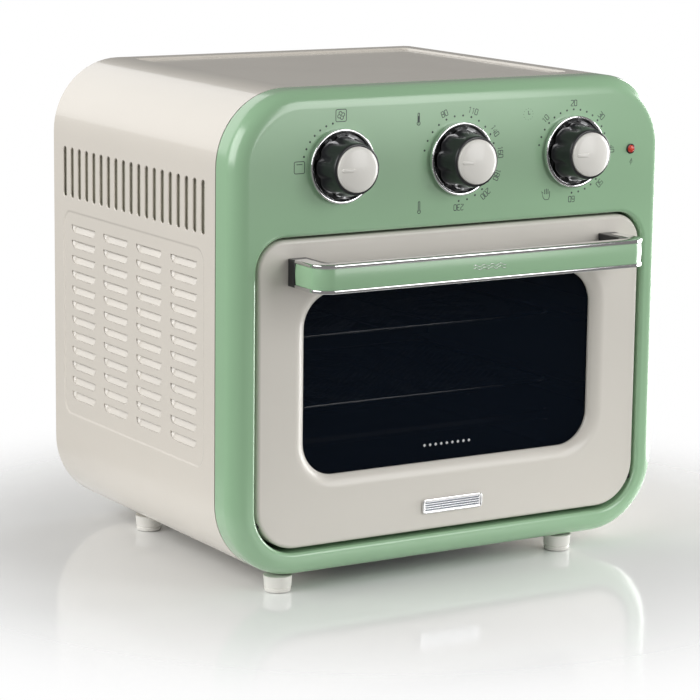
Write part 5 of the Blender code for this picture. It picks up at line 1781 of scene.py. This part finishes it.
FLOOR_HALF = 4.0
FLOOR_DROP = 0.0002
FLOOR_ROUGHNESS = 0.10
# Distances from the middle between which the floor fades out
FLOOR_FADE = (0.17, 0.42)
SURROUNDINGS = (0.22, 0.216, 0.21, 1)
# Place, size across and up, and power of each light
LIGHTS = {
    "left_softbox": ((-1.7, 0.0, 0.95), (1.6, 1.3), 27.0),
    "right_softbox": ((1.5, 0.15, 0.25), (1.9, 1.1), 48.0),
    "front_softbox": ((0.45, -1.0, 0.55), (0.5, 0.8), 4.8),
    "rear_softbox": ((-0.5, 1.7, 1.0), (2.0, 1.2), 8.0),
}
CAMERA_LENS = 147.4
CAMERA_AIM = Vector((-0.0647, WRAP_LOW.y - 0.001, 0.1451))
CAMERA_AZIMUTH = radians(-31.4028)
CAMERA_ELEVATION = radians(10.8403)
CAMERA_ROLL = radians(0.6992)
CAMERA_DISTANCE = 1.7821


class OVEN_OT_stage(bpy.types.Operator):
    """Pale floor, soft studio light and the camera."""

    bl_idname = "oven.stage"
    bl_label = "Stage"

    def execute(self, context):
        self.floor(context)
        self.studio(context)
        self.lights(context)
        self.camera(context)
        return {"FINISHED"}

    def floor(self, context):
        bm = bmesh.new()
        bmesh.ops.create_grid(bm, x_segments=1, y_segments=1, size=FLOOR_HALF)
        mesh = bpy.data.meshes.new("floor")
        bm.to_mesh(mesh)
        bm.free()
        floor = bpy.data.objects.new("floor", mesh)
        floor.location.z = -FLOOR_DROP
        context.scene.collection.objects.link(floor)
        material = self.floor_finish(context)
        mesh.materials.append(material)

    def floor_finish(self, context):
        """A glossy pale sheet that fades into the white surroundings."""
        material = bpy.data.materials.new("look_floor")
        material.use_nodes = True
        tree = material.node_tree
        shader = tree.nodes["Principled BSDF"]
        shader.inputs["Roughness"].default_value = FLOOR_ROUGHNESS
        where = tree.nodes.new("ShaderNodeTexCoord").outputs["Object"]
        base = (*context.scene.oven_colours.floor, 1.0)
        values = {"colour": base, "roughness": FLOOR_ROUGHNESS, "scale": 3.0, "amount": 0.02}
        clouds = place_group(tree, COAT_VARIATION, **values)
        tree.links.new(where, clouds.inputs["Vector"])
        tree.links.new(clouds.outputs["Colour"], shader.inputs["Base Color"])
        far = tree.nodes.new("ShaderNodeVectorMath")
        far.operation = "LENGTH"
        tree.links.new(where, far.inputs[0])
        fade = tree.nodes.new("ShaderNodeMapRange")
        fade.interpolation_type = "SMOOTHERSTEP"
        fade.inputs["From Min"].default_value = FLOOR_FADE[0]
        fade.inputs["From Max"].default_value = FLOOR_FADE[1]
        fade.inputs["To Min"].default_value = 1.0
        fade.inputs["To Max"].default_value = 0.0
        tree.links.new(far.outputs["Value"], fade.inputs["Value"])
        tree.links.new(fade.outputs["Result"], shader.inputs["Alpha"])
        return material

    def studio(self, context):
        world = bpy.data.worlds.new("studio")
        context.scene.world = world
        world.use_nodes = True
        tree = world.node_tree
        tree.nodes.clear()
        path = tree.nodes.new("ShaderNodeLightPath")
        mix = tree.nodes.new("ShaderNodeMixShader")
        end = tree.nodes.new("ShaderNodeOutputWorld")
        seen = tree.nodes.new("ShaderNodeBackground")
        seen.inputs["Color"].default_value = (1, 1, 1, 1)
        around = tree.nodes.new("ShaderNodeBackground")
        around.inputs["Color"].default_value = SURROUNDINGS
        tree.links.new(path.outputs["Is Camera Ray"], mix.inputs["Fac"])
        tree.links.new(around.outputs["Background"], mix.inputs[1])
        tree.links.new(seen.outputs["Background"], mix.inputs[2])
        tree.links.new(mix.outputs["Shader"], end.inputs["Surface"])
        context.scene.view_settings.view_transform = "Standard"

    def lights(self, context):
        aim = Vector((0, 0, BODY_MIDDLE))
        for name, (place, size, power) in LIGHTS.items():
            light = bpy.data.lights.new(name, "AREA")
            light.shape = "RECTANGLE"
            light.size, light.size_y = size
            light.energy = power
            obj = bpy.data.objects.new(name, light)
            obj.location = place
            obj.rotation_euler = (aim - obj.location).to_track_quat("-Z", "Y").to_euler()
            context.scene.collection.objects.link(obj)

    def camera(self, context):
        camera = bpy.data.cameras.new("camera")
        camera.sensor_width = 36.0
        camera.lens = CAMERA_LENS
        obj = bpy.data.objects.new("camera", camera)
        level = cos(CAMERA_ELEVATION)
        ahead = Vector((sin(CAMERA_AZIMUTH) * level, -cos(CAMERA_AZIMUTH) * level, 0))
        away = ahead + Vector((0, 0, sin(CAMERA_ELEVATION)))
        obj.location = CAMERA_AIM + CAMERA_DISTANCE * away
        turn = away.to_track_quat("Z", "Y").to_matrix() @ Matrix.Rotation(CAMERA_ROLL, 3, "Z")
        obj.rotation_euler = turn.to_euler()
        context.scene.collection.objects.link(obj)
        context.scene.camera = obj


class OVEN_PT_panel(bpy.types.Panel):
    """Lists the oven's pieces, sizes and colours."""

    bl_idname = "OVEN_PT_panel"
    bl_label = "Countertop oven"
    bl_space_type = "VIEW_3D"
    bl_region_type = "UI"
    bl_category = "Oven"

    def draw(self, context):
        column = self.layout.column(align=True)
        for operator in OPERATORS:
            column.operator(operator.bl_idname)
        for group in (context.scene.oven_sizes, context.scene.oven_colours):
            box = self.layout.box()
            for name in group.__annotations__:
                box.prop(group, name)


OPERATORS = (
    OVEN_OT_stage,
    OVEN_OT_cabinet,
    OVEN_OT_fascia,
    OVEN_OT_door,
    OVEN_OT_handle,
    OVEN_OT_badge,
    OVEN_OT_dials,
    OVEN_OT_marks,
    OVEN_OT_lamp,
    OVEN_OT_racks,
    OVEN_OT_inside,
    OVEN_OT_rear,
    OVEN_OT_feet,
)
CLASSES = (OvenSizes, OvenColours) + OPERATORS + (OVEN_PT_panel,)


def register():
    for item in CLASSES:
        bpy.utils.register_class(item)
    bpy.types.Scene.oven_sizes = bpy.props.PointerProperty(type=OvenSizes)
    bpy.types.Scene.oven_colours = bpy.props.PointerProperty(type=OvenColours)


def unregister():
    del bpy.types.Scene.oven_colours
    del bpy.types.Scene.oven_sizes
    for item in reversed(CLASSES):
        bpy.utils.unregister_class(item)


def main():
    register()
    for operator in OPERATORS:
        getattr(bpy.ops.oven, operator.bl_idname.split(".")[1])()


if __name__ == "__main__":
    main()
